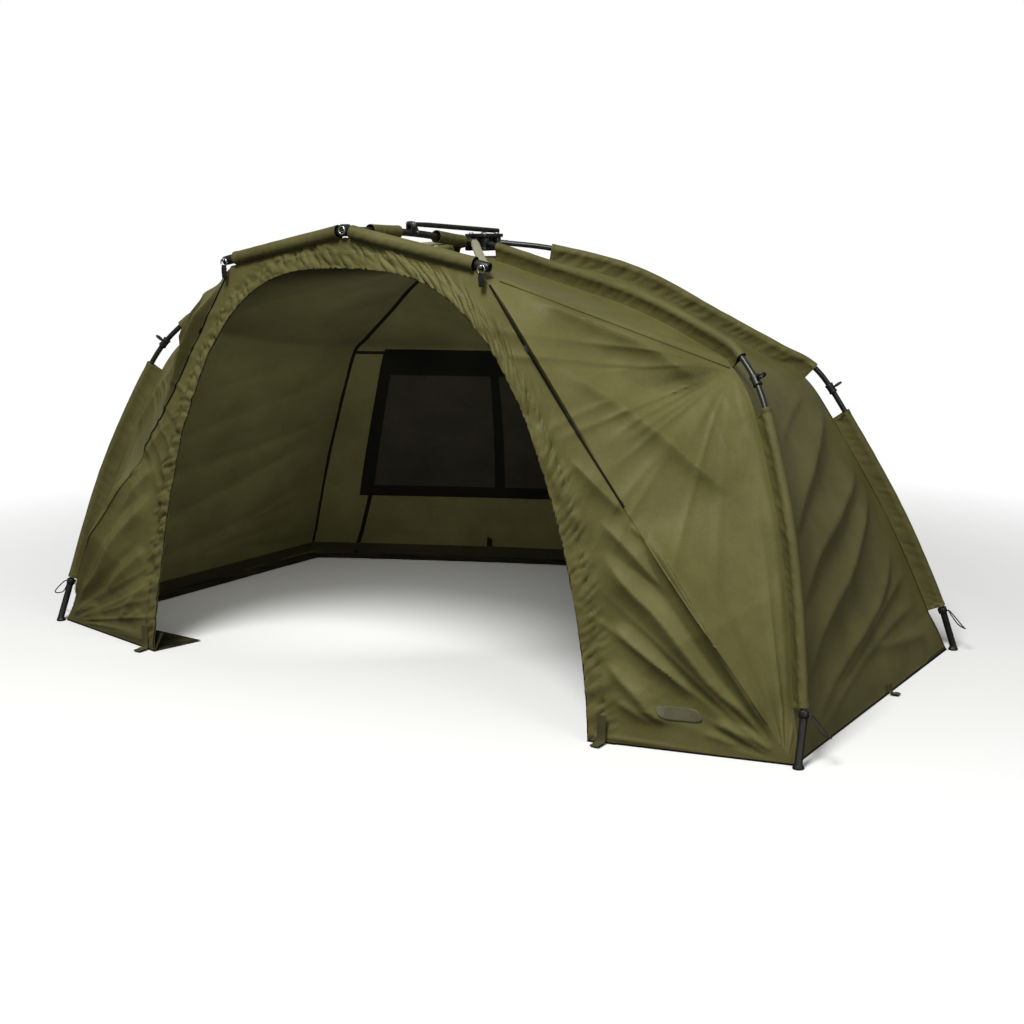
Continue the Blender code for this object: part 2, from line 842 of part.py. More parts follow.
# Apex fitting, bars, ribs, corner fittings and clips
clip_pivots = {}
cylinder("apex_fitting", apex, (0, 1, 0), APEX_RADIUS, APEX_LONG, black_plastic, 16)
for name, side in SIDES:
    end = mirrored(corner, side)
    way = (end - apex) / np.linalg.norm(end - apex)
    block_middle = end + way * (CORNER_BLOCK_LONG / 2 - CORNER_BLOCK_BEFORE)
    cylinder(
        f"corner_fitting_{name}",
        block_middle,
        way,
        CORNER_BLOCK_RADIUS,
        CORNER_BLOCK_LONG,
        black_plastic,
        12,
    )
    bar_from = apex + way * (APEX_RADIUS + 2 * FIT)
    bar_to = block_middle - way * (CORNER_BLOCK_LONG / 2 + FIT)
    tube(f"peak_bar_{name}", np.array([bar_from, bar_to]), BAR_RADIUS, black_tube)
    up = np.array([0, 0, 1.0]) - way * way[2]
    up /= np.linalg.norm(up)
    sleeve_from = bar_from + way * BAR_BARE
    sleeve_to = bar_to - way * BAR_SLEEVE_GAP
    sweep(
        f"bar_sleeve_{name}",
        np.array([sleeve_from, (sleeve_from + sleeve_to) / 2, sleeve_to]),
        [up] * 3,
        ring_section(BAR_SLEEVE),
        bore_section(BAR_RADIUS),
        sleeve_cloth,
    )
    yoke_end = spine_at(yoke_behind) + (side * (YOKE_HALF + RIB_RADIUS + FIT), 0, 0)
    rib_way = (block_middle - yoke_end) / np.linalg.norm(block_middle - yoke_end)
    crossing = np.linalg.norm(np.cross(way, rib_way))
    along_block = abs(way @ rib_way)
    reach = (CORNER_BLOCK_RADIUS + FIT + RIB_RADIUS * along_block) / crossing
    rib_to = block_middle - rib_way * reach
    tube(f"peak_rib_{name}", np.array([yoke_end, rib_to]), RIB_RADIUS, strap_cloth)
    clip_sweep = math.hypot(CLIP_WIDE, CORNER_BLOCK_RADIUS) / 2
    before = CORNER_BLOCK_RADIUS + clip_sweep * abs(way[1]) + FIT + CLIP_THICK / 2
    clip_pivots[name] = block_middle - (0, before, 0)
    box(
        f"corner_clip_{name}",
        clip_pivots[name] + (0, 0, CORNER_BLOCK_RADIUS / 2 - CLIP_LONG / 2),
        (CLIP_WIDE, CLIP_THICK, CLIP_LONG),
        black_plastic,
    )

# Tension lever
lever_rest = lug_top + FIT + PLATE + FIT + LEVER_RADIUS
lever_end = np.array([0, FRONT_LINE + LEVER_END, lever_rest])
lever_way = (lever_end - pivot) / np.linalg.norm(lever_end - pivot)
lever = tube(
    "tension_lever",
    np.array([pivot + lever_way * LEVER_BITE, (pivot + lever_end) / 2, lever_end]),
    LEVER_RADIUS,
    black_tube,
)
head_in = LEVER_EYE_HALF + EAR_THICK + 2 * FIT
for tag, radius, half in (
    ("eye", LEVER_EYE, LEVER_EYE_HALF),
    ("trunnion", TRUNNION, head_in + TRUNNION_HEAD_THICK / 2),
):
    added = cylinder(
        f"lever_{tag}", pivot, (1, 0, 0), radius, 2 * half, black_tube, 12, cutters
    )
    boolean(lever, cutter(added), "UNION")
for name, side in SIDES:
    head = cylinder(
        f"lever_head_{name}",
        pivot + (side * (head_in + TRUNNION_HEAD_THICK / 2), 0, 0),
        (1, 0, 0),
        TRUNNION_HEAD,
        TRUNNION_HEAD_THICK,
        black_tube,
        12,
        cutters,
    )
    boolean(lever, cutter(head), "UNION")

# Canopy
ARM = slice(0, ARM_STATIONS + 1)
LEG = slice(ARM_STATIONS, None)
door_foot = place(DOOR_FOOT_OUT, -DOOR_REACH, HEM_LIFT)
bar_way = (corner - apex) / np.linalg.norm(corner - apex)
bar_flat = BAR_SLEEVE * math.cos(math.pi / 8)
bar_drop = np.array([0, 0, bar_flat / math.sqrt(1 - bar_way[2] ** 2) + FIT])
corner_skin = corner - bar_drop
apex_skin = apex - bar_drop
crown_y = hinge_y - CROWN_BEFORE_HINGE
crown_front = np.array([CROWN_HALF, crown_y, ARM_HEIGHT - SKIN_DROP - CROWN_DROP])
shoulder_skin = FRONT_SKIN[ARM_STATIONS]
foot_skin = FRONT_SKIN[-1]

# Side walls, from the hub to the ground between a front and a rear leg
for name, side in SIDES:
    wall = loft(mirrored(FRONT_SKIN, side), mirrored(REAR_SKIN, side), 8)
    wall = sag(seen(wall, side), SIDE_SAG)
    shoulder = mirrored(shoulder_skin, side)
    rear_shoulder = mirrored(REAR_SKIN[ARM_STATIONS], side)
    rear_foot = mirrored(REAR_SKIN[-1], side)
    front_foot = mirrored(foot_skin, side)
    runs = (
        (rear_shoulder, front_foot * 0.7 + rear_foot * 0.3),
        (shoulder, front_foot * 0.3 + rear_foot * 0.7),
        (rear_shoulder, rear_foot * 0.75 + front_foot * 0.25),
    )
    for (start, end), (width, height) in zip(runs, WALL_FOLDS):
        wall = fold(wall, start, end, width, height)
    sheet(f"side_wall_{name}", inset(wall, SEAM_HALF, SEAM_HALF), canopy_cloth)

# Roof between the peak's ribs and the front legs
for name, side in SIDES:
    edge = loft(crown_front[None], corner_skin[None], ARM_STATIONS)[0]
    roof = loft(mirrored(edge, side), mirrored(FRONT_SKIN[ARM], side), 5)
    roof = sag(seen(roof, side), ROOF_SAG)
    sheet(
        f"roof_{name}",
        inset(roof, SEAM_HALF, SEAM_HALF, 0, SEAM_HALF),
        canopy_cloth,
    )


def zip_line():
    steps = ARM_STATIONS // 2 + LEG_STATIONS
    line = smooth([corner_skin, place(*ZIP_MIDDLE), foot_skin], steps + 1)
    return line


def wing_outer():
    """From the peak's corner along the roof seam and down the front leg."""
    steps = ARM_STATIONS // 2
    seam = loft(corner_skin[None], shoulder_skin[None], steps)[0]
    return np.vstack([seam, FRONT_SKIN[LEG][1:]])


# Front wings, between the zip seam, the roof and the front leg
for name, side in SIDES:
    inner = zip_line()[:-1]
    outer = wing_outer()
    wing = loft(mirrored(inner, side), mirrored(outer, side), 8)
    wing[0] += (wing[1] - wing[0]) * WING_TIP_SHARE
    wing = seen(wing, side)
    shoulder = mirrored(shoulder_skin, side)
    foot = mirrored(foot_skin, side)
    top = mirrored(corner_skin, side)
    zip_half = mirrored(place(*ZIP_MIDDLE), side)
    runs = (
        (top, (shoulder + foot * 2) / 3),
        ((top * 2 + shoulder) / 3, foot),
        (shoulder, foot * 0.8 + zip_half * 0.2),
        (zip_half, foot),
    )
    for (start, end), (width, height) in zip(runs, WING_FOLDS):
        wing = fold(wing, start, end, width, height)
    sheet(
        f"front_wing_{name}",
        inset(wing, SEAM_HALF, SEAM_HALF, SEAM_HALF, 0),
        canopy_cloth,
    )

# Door surround, from the arched opening out to the zip seams and the bars
door_angle = np.linspace(0.0, math.pi, 400)
cosine, sine = np.cos(door_angle), np.sin(door_angle)
arch = np.stack(
    [
        -DOOR_HALF * np.sign(cosine) * np.abs(cosine) ** (2 / DOOR_TOP_POWER),
        np.full(400, FRONT_LINE - DOOR_PLANE),
        HEM_LIFT + (ARM_HEIGHT - DOOR_DROP) * sine ** (2 / DOOR_SIDE_POWER),
    ],
    axis=1,
)
low = np.clip(1 - arch[:, 2] / DOOR_FLARE_HIGH, 0, 1)
arch[:, 0] += np.sign(arch[:, 0]) * low**2 * (DOOR_FOOT_OUT - DOOR_HALF)
arch[:, 1] -= low * (DOOR_REACH - DOOR_PLANE)
arch = even(arch, 32)
right_zip = zip_line()[::-1]
outer_rim = np.vstack(
    [
        mirrored(right_zip, -1)[:-1],
        mirrored(corner_skin, -1),
        apex_skin,
        corner_skin,
        right_zip[::-1][1:],
    ]
)
corners_at = [len(right_zip) - 1, len(right_zip), len(right_zip) + 1]
outer_rim = np.vstack(
    [
        even(outer_rim[: corners_at[0] + 1], 11),
        even(outer_rim[corners_at[0] : corners_at[1] + 1], 5)[1:],
        even(outer_rim[corners_at[1] : corners_at[2] + 1], 5)[1:],
        even(outer_rim[corners_at[2] :], 11)[1:],
    ]
)
surround = loft(outer_rim, arch, 4).transpose(1, 0, 2)
surround[-1, [0, -1], 2] = HEM_LIFT
surround[:, 0, 2] = HEM_LIFT
surround[:, -1, 2] = HEM_LIFT
sheet("door_surround", inset(surround, 0, 0, SEAM_HALF, 0), canopy_cloth)

# Peak roof over the bars, which folds with the peak
front_edge = np.vstack(
    [
        even(np.array([mirrored(corner_skin, -1), apex_skin]), 5),
        even(np.array([apex_skin, corner_skin]), 5)[1:],
    ]
) + np.array([0, 3 * SEAM_HALF, 0])
back_edge = even(np.array([mirrored(crown_front, -1), crown_front]), 10)
peak_roof = loft(back_edge, front_edge, 6).transpose(1, 0, 2)
sheet("peak_roof", inset(peak_roof, 2 * SEAM_HALF, 2 * SEAM_HALF, 0, 0), canopy_cloth)


# Back wall with its window
def wall_row(height):
    """The rear leg's cloth point at a height, then the bow of the wall there."""
    out = np.interp(-height, -REAR_SKIN[:, 2], REAR_SKIN[:, 0])
    back = np.interp(-height, -REAR_SKIN[:, 2], REAR_SKIN[:, 1])
    whole = FRONT_LINE + BASE_DEPTH + BACK_REACH - REAR_SKIN[-1][1]
    bow = whole * max(0.0, 1 - (height / ARM_HEIGHT) ** 2) ** WALL_LEAN_POWER
    return out, back, bow


def wall_point(share, height, inside=0.0):
    out, back, bow = wall_row(height)
    rise = 0.02 if height < WINDOW_TOP else -0.02
    y = back + bow * (1 - abs(share) ** WALL_POWER)
    _, back2, bow2 = wall_row(height + rise)
    lean = (back2 + bow2 * (1 - abs(share) ** WALL_POWER) - y) / rise
    slope = -math.copysign(1, share) * bow * WALL_POWER * abs(share) ** (WALL_POWER - 1) / out
    n = np.array([-slope, 1.0, -lean])
    n /= np.linalg.norm(n)
    return np.array([share * out, y, height]) - n * inside


band_share = BAND / wall_row(WINDOW_LOW)[0]
half_shares = [WINDOW_BAR_SHARE / 2]
half_shares += [WINDOW_BAR_SHARE - band_share / 2, WINDOW_BAR_SHARE + band_share / 2]
half_shares += [WINDOW_SHARE - 2 * band_share / 3, WINDOW_SHARE]
half_shares += [WINDOW_SHARE + band_share / 3, 1.0]
wall_shares = half_shares[::-1] + [0.0] + [-s for s in half_shares]
window_first = wall_shares.index(WINDOW_SHARE)
window_last = wall_shares.index(-WINDOW_SHARE)
frame_heights = [WINDOW_TOP + BAND / 3, WINDOW_TOP]
frame_heights += list(np.linspace(WINDOW_TOP - 2 * BAND / 3, WINDOW_LOW + 2 * BAND / 3, 4))
frame_heights += [WINDOW_LOW, WINDOW_LOW - BAND / 3]
frame_top, frame_low = frame_heights[0] + ROW_APART, frame_heights[-1] - ROW_APART
other_heights = [h for h in REAR_SKIN[1:, 2] if h > frame_top or h < frame_low]
wall_heights = sorted([*other_heights, *frame_heights], reverse=True)
window_top_row = wall_heights.index(WINDOW_TOP)
window_low_row = wall_heights.index(WINDOW_LOW)


def wall_grid(heights, shares, inside=0.0):
    return np.array([[wall_point(s, h, inside) for s in shares] for h in heights])


crown_back = even(np.array([REAR_SKIN[0], mirrored(REAR_SKIN[0], -1)]), len(wall_shares) - 1)
tongue = crown_front + (0, 2 * SEAM_HALF, 0)
tongue_front = even(np.array([tongue, mirrored(tongue, -1)]), len(wall_shares) - 1)
back = np.vstack([[tongue_front], [crown_back], wall_grid(wall_heights, wall_shares)])


def in_window(i, j):
    in_rows = window_top_row + 2 <= i < window_low_row + 2
    return in_rows and window_first <= j < window_last


sheet("back_wall", inset(back, SEAM_HALF, SEAM_HALF, 0, 0), canopy_cloth, in_window)

# Window frame of black band inside the wall, with its mesh behind it
frame_shares = wall_shares[window_first - 1 : window_last + 2]
frame_grid = wall_grid(frame_heights, frame_shares, CLOTH + FIT)


def in_frame_opening(i, j):
    return i in (2, 3, 4) and j in (2, 4, 5, 6, 7, 9)


sheet("window_frame", frame_grid, black_cloth, in_frame_opening)
mesh_grid = wall_grid(frame_heights[1:-1], frame_shares[1:-1], 2 * (CLOTH + FIT))
sheet("window_mesh", mesh_grid, window_mesh_cloth)


# Skirt along the inside of the walls, turned in on the ground
def ground_line():
    side = even(np.array([FRONT_SKIN[-1], REAR_SKIN[-1]]), 5)
    front = even(np.array([door_foot, FRONT_SKIN[-1]]), 3)
    half = np.vstack([front[:-1], side[:-1]])
    wall = np.array([wall_point(s, HEM_LIFT) for s in wall_shares])
    return np.vstack([half, wall, mirrored(half[::-1], -1)])


edge_line = ground_line()
wide = np.full(len(edge_line), SKIRT_WIDE)
wide[:4] = np.linspace(FLAP_WIDE, SKIRT_WIDE, 4)
wide[-4:] = wide[3::-1]
run = np.diff(edge_line, axis=0)
square = np.stack([-run[:, 1], run[:, 0], 0 * run[:, 0]], axis=1)
square /= np.linalg.norm(square, axis=1)[:, None]
before, after = np.vstack([square[:1], square]), np.vstack([square, square[-1:]])
inwards = (before + after) / (1 + np.sum(before * after, axis=1))[:, None]
lift = np.array([0, 0, 1.0])
skirt_rows = [
    edge_line + inwards * (SKIRT_CLEAR + SKIRT_HIGH * SKIRT_LEAN) + lift * SKIRT_HIGH,
    edge_line + inwards * SKIRT_CLEAR + lift * HEM_LIFT * 2,
    edge_line + inwards * wide[:, None] + lift * HEM_LIFT * 2,
]
sheet("skirt", np.array(skirt_rows[::-1])[:, ::-1], black_cloth)


# Each joint's axis is an empty, which carries what turns with it
def joint_axis(name, spot, pieces, parent=None):
    axis = bpy.data.objects.new(name, None)
    shelter.objects.link(axis)
    axis.location = spot
    bpy.context.view_layer.update()
    if parent:
        axis.parent = parent
        axis.matrix_parent_inverse = parent.matrix_world.inverted()
        bpy.context.view_layer.update()
    for piece in pieces:
        carried = bpy.data.objects[piece]
        carried.parent = axis
        carried.matrix_parent_inverse = axis.matrix_world.inverted()
    return axis


LEG_PIECES = ("leg_tube", "foot", "eye_collar", "foot_cord", "sleeve_upper", "sleeve_lower")
PEAK_PIECES = ("peak_bar", "bar_sleeve", "peak_rib", "corner_fitting")
SPINE_PIECES = ("spine_tube", "spine_sleeve_front", "spine_sleeve_rear", "apex_fitting")

for row, pin in (("front", FRONT_PIN), ("rear", REAR_PIN)):
    for name, side in SIDES:
        names = [f"{kind}_{row}_{name}" for kind in LEG_PIECES]
        joint_axis(f"leg_axis_{row}_{name}", mirrored(pin, side), names)

peak_names = [*SPINE_PIECES, "peak_roof"]
peak_names += [f"{kind}_{name}" for kind in PEAK_PIECES for name, _ in SIDES]
peak_axis = joint_axis("peak_axis", hinge, peak_names)
joint_axis("lever_axis", pivot, ["tension_lever"], peak_axis)
for name, side in SIDES:
    joint_axis(f"clip_axis_{name}", clip_pivots[name], [f"corner_clip_{name}"], peak_axis)
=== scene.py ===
"""How the fishing shelter looks: its legs, hub, peak, cloth and trimmings, made
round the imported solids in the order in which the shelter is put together.
All lengths are in metres, +X to the right, +Y to the back and +Z up.
"""

import math

import bpy
import numpy as np
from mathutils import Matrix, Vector
from mathutils.geometry import delaunay_2d_cdt


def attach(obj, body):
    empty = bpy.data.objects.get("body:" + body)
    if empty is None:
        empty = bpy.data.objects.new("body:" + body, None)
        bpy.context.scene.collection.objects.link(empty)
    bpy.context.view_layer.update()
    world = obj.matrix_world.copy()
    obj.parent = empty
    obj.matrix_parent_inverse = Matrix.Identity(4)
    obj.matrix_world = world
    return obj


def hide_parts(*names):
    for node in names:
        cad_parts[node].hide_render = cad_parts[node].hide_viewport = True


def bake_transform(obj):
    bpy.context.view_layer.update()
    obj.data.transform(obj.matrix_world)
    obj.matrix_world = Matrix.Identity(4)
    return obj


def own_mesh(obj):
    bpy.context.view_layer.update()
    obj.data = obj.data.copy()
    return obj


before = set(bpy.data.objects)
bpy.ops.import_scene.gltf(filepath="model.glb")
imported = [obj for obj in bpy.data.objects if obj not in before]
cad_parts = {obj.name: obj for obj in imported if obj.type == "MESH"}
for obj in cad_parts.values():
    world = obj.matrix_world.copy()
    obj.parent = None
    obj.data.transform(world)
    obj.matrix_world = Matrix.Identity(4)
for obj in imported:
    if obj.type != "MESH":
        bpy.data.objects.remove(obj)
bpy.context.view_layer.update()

# Camera
# The photograph was taken from the front right, just above the peak, with a
# normal lens. Its place follows from the shelter's own feet and corners.
lens = bpy.data.cameras.new("camera")
lens.sensor_width = 36.0
lens.lens = 56.3
lens.clip_end = 200.0
camera = bpy.data.objects.new("camera", lens)
camera.location = (2.6831, -4.2616, 1.3364)
camera.rotation_euler = (math.radians(90 - 10.976), 0.0, math.radians(32.805))
bpy.context.scene.collection.objects.link(camera)
bpy.context.scene.camera = camera

# Cord loops
# A loop of thin black braided polyester cord hangs outwards from each leg end,
# where a peg holds it. Its two ends go into the leg end's moulded collar.
FRONT_FEET = -0.817
ARMS_HIGH = 1.218
HUB_MIDDLE = FRONT_FEET + 0.565
LEG_END_HIGH = 0.131
COLLAR_HIGH = 0.016
COLLAR_RADIUS = 0.0135
CORD_RADIUS = 0.0018
CORD_ROUTE = (
    (0.020, -0.0045, 0.001),
    (0.032, -0.012, -0.010),
    (0.056, -0.017, -0.034),
    (0.072, 0.0, -0.048),
    (0.058, 0.016, -0.045),
    (0.034, 0.012, -0.018),
    (0.020, 0.0045, -0.001),
)
SIDES = (("left", -1), ("right", 1))


def lengths(line):
    """The distance along a line of points at each of them."""
    steps = np.linalg.norm(np.diff(line, axis=0), axis=1)
    return np.concatenate([[0.0], np.cumsum(steps)])


def read_off(at, places, values):
    """Rows of three values at these places, by straight lines between them."""
    return np.stack([np.interp(at, places, column) for column in values.T], axis=-1)


def at_length(line, distance):
    """The point, or the points, at a distance along a line."""
    return read_off(distance, lengths(line), line)


def even(line, steps):
    """The same line with its points equally far apart."""
    return at_length(line, np.linspace(0, lengths(line)[-1], steps + 1))


def smooth(points, steps):
    """A Catmull-Rom curve: between two points it is the cubic whose slope at
    each of them is half the step between its neighbours. Evenly spaced."""
    p = np.array(points, float)
    p = np.vstack([2 * p[0] - p[1], p, 2 * p[-1] - p[-2]])
    t = np.linspace(0, 1, 24, endpoint=False)[None, :, None]
    a, b, c, d = (p[i : len(p) - 3 + i, None] for i in range(4))
    curve = 2 * b + (c - a) * t + (2 * a - 5 * b + 4 * c - d) * t**2
    curve = 0.5 * (curve + (3 * b - a - 3 * c + d) * t**3)
    return even(np.vstack([curve.reshape(-1, 3), p[-2:-1]]), steps)


def leg_line(pin, arm_bows, shoulder, leg_bows, foot):
    """A leg's middle line in two parts, its arm and its leg: a smooth curve
    through the hub pin, the shoulder and the foot, and through points between
    them given as a share of the way and a step off it, out, back and up."""
    ends = [np.array(p) + (0, FRONT_FEET, 0) for p in (pin, shoulder, foot)]
    shape = [ends[0]]
    for start, end, bows in ((ends[0], ends[1], arm_bows), (ends[1], ends[2], leg_bows)):
        shape += [start + (end - start) * share + np.array(bow) for share, *bow in bows]
        shape.append(end)
    whole = smooth(shape, 400)
    turn = int(np.argmin(np.linalg.norm(whole - ends[1], axis=1)))
    return even(whole[: turn + 1], 96), even(whole[turn:], 96)


FRONT = leg_line(
    (0.024, 0.533, ARMS_HIGH),
    ((0.30, 0, 0.020, 0.016), (0.63, 0, 0.012, 0.039), (0.91, 0, 0.002, 0.024)),
    (0.970, 0.285, 0.951),
    ((0.133, 0.054, -0.011, 0), (0.474, 0.073, -0.010, 0), (0.862, 0.033, 0.005, 0)),
    (1.28, 0, 0),
)
REAR = leg_line(
    (0.024, 0.597, ARMS_HIGH),
    ((0.20, 0, 0, 0.050), (0.45, 0, 0, 0.078), (0.70, 0, 0, 0.045), (0.89, 0, 0, 0.018)),
    (0.870, 1.025, 0.852),
    ((0.153, 0.023, 0.012, 0), (0.498, 0.040, 0.021, 0), (0.842, 0.025, 0.013, 0)),
    (1.265, 1.227, 0),
)
LEGS = {row: np.vstack([arm, leg[1:]]) for row, (arm, leg) in (("front", FRONT), ("rear", REAR))}
LEG_NAMES = [(row, name, side) for row in LEGS for name, side in SIDES]


def leg_of(row, side):
    """A leg's middle line, and how far along it its black end begins."""
    line = LEGS[row] * (side, 1, 1)
    return line, np.interp(-LEG_END_HIGH, -line[:, 2], lengths(line))


def linear(colour):
    """An sRGB hex colour as linear light."""
    c = np.array([int(colour[i : i + 2], 16) for i in (1, 3, 5)]) / 255
    return (*np.where(c <= 0.04045, c / 12.92, ((c + 0.055) / 1.055) ** 2.4), 1.0)


def add(tree, kind, inputs=(), **settings):
    """Adds one node with its settings, and fills its inputs with numbers,
    colours or other nodes' outputs. Gives back its first live output."""
    made = tree.nodes.new("ShaderNode" + kind)
    for key, value in settings.items():
        setattr(made, key, value)
    for key, value in dict(inputs).items():
        if isinstance(value, bpy.types.NodeSocket):
            tree.links.new(value, made.inputs[key])
        else:
            made.inputs[key].default_value = value
    return next(out for out in made.outputs if out.enabled)


def finish_of(name, sockets):
    """A new material, and its shader's sockets set to plain numbers."""
    made = bpy.data.materials.new(name)
    made.use_nodes = True
    shader = made.node_tree.nodes["Principled BSDF"]
    for key, value in sockets.items():
        shader.inputs[key].default_value = value
    return made, made.node_tree, shader


def link(tree, shader, **outputs):
    """Joins outputs to the shader's Base Color, Roughness and Normal."""
    names = {"colour": "Base Color", "rough": "Roughness", "normal": "Normal"}
    for key, output in outputs.items():
        tree.links.new(output, shader.inputs[names[key]])


# Braided polyester: dull black, its plaits drawn 6 mm long, painted lighter where they rise as a
# painted highlight.
braid, tree, shader = finish_of("braided_polyester_cord", {"Roughness": 0.7, "IOR": 1.5})
spot = add(tree, "UVMap", uv_map="cut")
spot = add(tree, "Mapping", {"Vector": spot, "Scale": (90.0, 330.0, 1.0)})
plait = add(
    tree, "TexWave", {"Vector": spot, "Scale": 0.32, "Distortion": 0.4}, bands_direction="DIAGONAL"
)
# Painted highlight: the plaits' crests are coloured lighter than the cord.
tone = {0: plait, 6: linear("#0E0F0D"), 7: linear("#2A2C26")}
link(
    tree,
    shader,
    colour=add(tree, "Mix", tone, data_type="RGBA"),
    normal=add(tree, "Bump", {"Height": plait, "Strength": 0.5, "Distance": 0.0006}),
)


def unit(way):
    """Directions made one long."""
    return way / np.linalg.norm(way, axis=-1, keepdims=True)


def ways(line):
    """Unit directions along a line at each point."""
    return unit(np.gradient(line, axis=0))


def square_to(line, guess):
    """The guessed directions made square to the line and one long."""
    along = ways(line)
    return unit(guess - np.sum(guess * along, axis=1, keepdims=True) * along)


def quads(index):
    """The four corners of each square in a grid of point numbers."""
    return np.stack([index[:-1, :-1], index[1:, :-1], index[1:, 1:], index[:-1, 1:]], axis=-1)


def skinned(m, n, looped=False):
    """Faces over m rings of n points, with a flat cap at both ends or, where
    it is looped, the last ring joined to the first."""
    rings = np.arange(m * n).reshape(m, n)
    rows = np.vstack([rings, rings[:1]]) if looped else rings
    faces = quads(np.hstack([rows, rows[:, :1]])).reshape(-1, 4).tolist()
    return faces if looped else faces + [rings[0].tolist(), rings[-1][::-1].tolist()]


def carried(line, ups, outline, scale=1.0, looped=False):
    """An outline carried along a line. At each station the outline's first
    number is laid off sideways and its second along the up direction, both
    times the station's scale. Ends are closed by flat caps, and a looped
    shape joins its last station to its first. Gives points, faces and, for
    each point, its place round the outline and along the line."""
    m, n = len(line), np.shape(outline)[-2]
    along = unit(np.roll(line, -1, axis=0) - np.roll(line, 1, axis=0)) if looped else ways(line)
    ups = np.broadcast_to(ups, line.shape)
    sides = np.cross(along, ups)
    outline = np.broadcast_to(outline, (m, n, 2))
    spread = outline * np.broadcast_to(scale, (m,))[:, None, None]
    points = line[:, None] + sides[:, None] * spread[..., :1] + ups[:, None] * spread[..., 1:]
    around = lengths(outline[0])
    uv = np.stack(np.broadcast_arrays(around[None, :], lengths(line)[:, None]), axis=-1)
    return points.reshape(-1, 3), skinned(m, n, looped), uv.reshape(-1, 2)


def joined(*shapes):
    """Several shapes as one."""
    points, faces, uvs, start = [], [], [], 0
    for p, f, uv in shapes:
        points.append(p)
        faces += [[i + start for i in face] for face in f]
        uvs.append(uv)
        start += len(p)
    return np.vstack(points), faces, np.vstack(uvs)


def ring(sides):
    """A circle of radius one."""
    turn = np.linspace(0, 2 * np.pi, sides, endpoint=False)
    return np.stack([np.sin(turn), np.cos(turn)], axis=1)


def mesh_of(name, shape, look, crease=40.0, outwards=True):
    """An object from points, faces and a flat place for each point, with its
    sharp corners kept. A closed shape whose faces sum to a negative volume
    is inside out, and is turned."""
    points, faces, uv = shape
    if outwards:
        # Every face is cut into triangles round its first corner.
        fans = np.array([(f[0], f[i], f[i + 1]) for f in faces for i in range(1, len(f) - 1)])
        a, b, c = (points[fans[:, k]] for k in range(3))
        if np.sum(a * np.cross(b, c)) < 0:
            faces = [face[::-1] for face in faces]
    mesh = bpy.data.meshes.new(name)
    mesh.from_pydata(points.tolist(), [], faces)
    corners = np.zeros(len(mesh.loops), np.int32)
    mesh.loops.foreach_get("vertex_index", corners)
    layer = mesh.uv_layers.new(name="cut")
    layer.data.foreach_set("uv", np.asarray(uv, np.float32)[corners].ravel())
    mesh.polygons.foreach_set("use_smooth", np.ones(len(mesh.polygons), bool))
    mesh.set_sharp_from_angle(angle=math.radians(crease))
    mesh.materials.append(look)
    made = bpy.data.objects.new(name, mesh)
    bpy.context.scene.collection.objects.link(made)
    return made


def fit(made, body, slot, *nodes):
    """Rides a piece on a body, with the solids that it stands for. Its material slot is not used."""
    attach(made, body)
    if nodes:
        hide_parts(*nodes)


for row, name, side in LEG_NAMES:
    line, end_at = leg_of(row, side)
    root = at_length(line, end_at + COLLAR_HIGH / 2)
    down = at_length(line, end_at) - at_length(line, end_at - COLLAR_HIGH)
    lean = abs(down[0]) / np.linalg.norm(down)
    leaves = (COLLAR_RADIUS + CORD_RADIUS * lean) / math.sqrt(1 - lean**2) + 0.0002
    route = [(leaves, -0.004, 0.001), *CORD_ROUTE, (leaves, 0.004, 0.0)]
    loop = root + smooth(np.array(route) * (side, 1, 1), 64)
    ups = square_to(loop, (0.2, 0.1, 1.0))
    cord = mesh_of(
        f"foot_cord_{row}_{name}_braid", carried(loop, ups, ring(12), CORD_RADIUS), braid
    )
    fit(cord, f"leg_{row}_{name}", "black_cord", f"foot_cord_{row}_{name}")

# Leg tubes
# Four bent aluminium tubes of 16 mm, powder-coated black. Each runs from a lug
# on its hub pin over the shoulder to the leg end, where it is riveted.
TUBE_RADIUS = 0.008
LUG_RADIUS = 0.0125
LUG_HIGH = 0.028
PIN_BORE = 0.0043


def coated(name, colour, worn, rough):
    """Coated or moulded stuff: a fine orange-peel skin of 2 mm cells, a paler
    tone where the coat is thin, and roughness that wanders with both."""
    look, tree, shader = finish_of(name, {"IOR": 1.5})
    spot = add(tree, "TexCoord").node.outputs["Object"]
    skin = add(tree, "TexNoise", {"Vector": spot, "Scale": 480.0, "Detail": 3.0})
    cloud = add(tree, "TexNoise", {"Vector": spot, "Scale": 30.0, "Detail": 5.0, "Roughness": 0.7})
    thin = add(tree, "MapRange", {"Value": cloud, "From Min": 0.42, "From Max": 0.80})
    tone = add(tree, "Mix", {0: thin, 6: linear(colour), 7: linear(worn)}, data_type="RGBA")
    shine = add(tree, "MapRange", {"Value": cloud, "To Min": rough - 0.08, "To Max": rough + 0.10})
    bump = add(tree, "Bump", {"Height": skin, "Strength": 0.25, "Distance": 0.0003})
    link(tree, shader, colour=tone, rough=shine, normal=bump)
    return look


# Powder coat: satin black, softly mottled, paler where it has rubbed.
powder_coat = coated("black_powder_coated_aluminium", "#0F110E", "#2A2D26", 0.38)


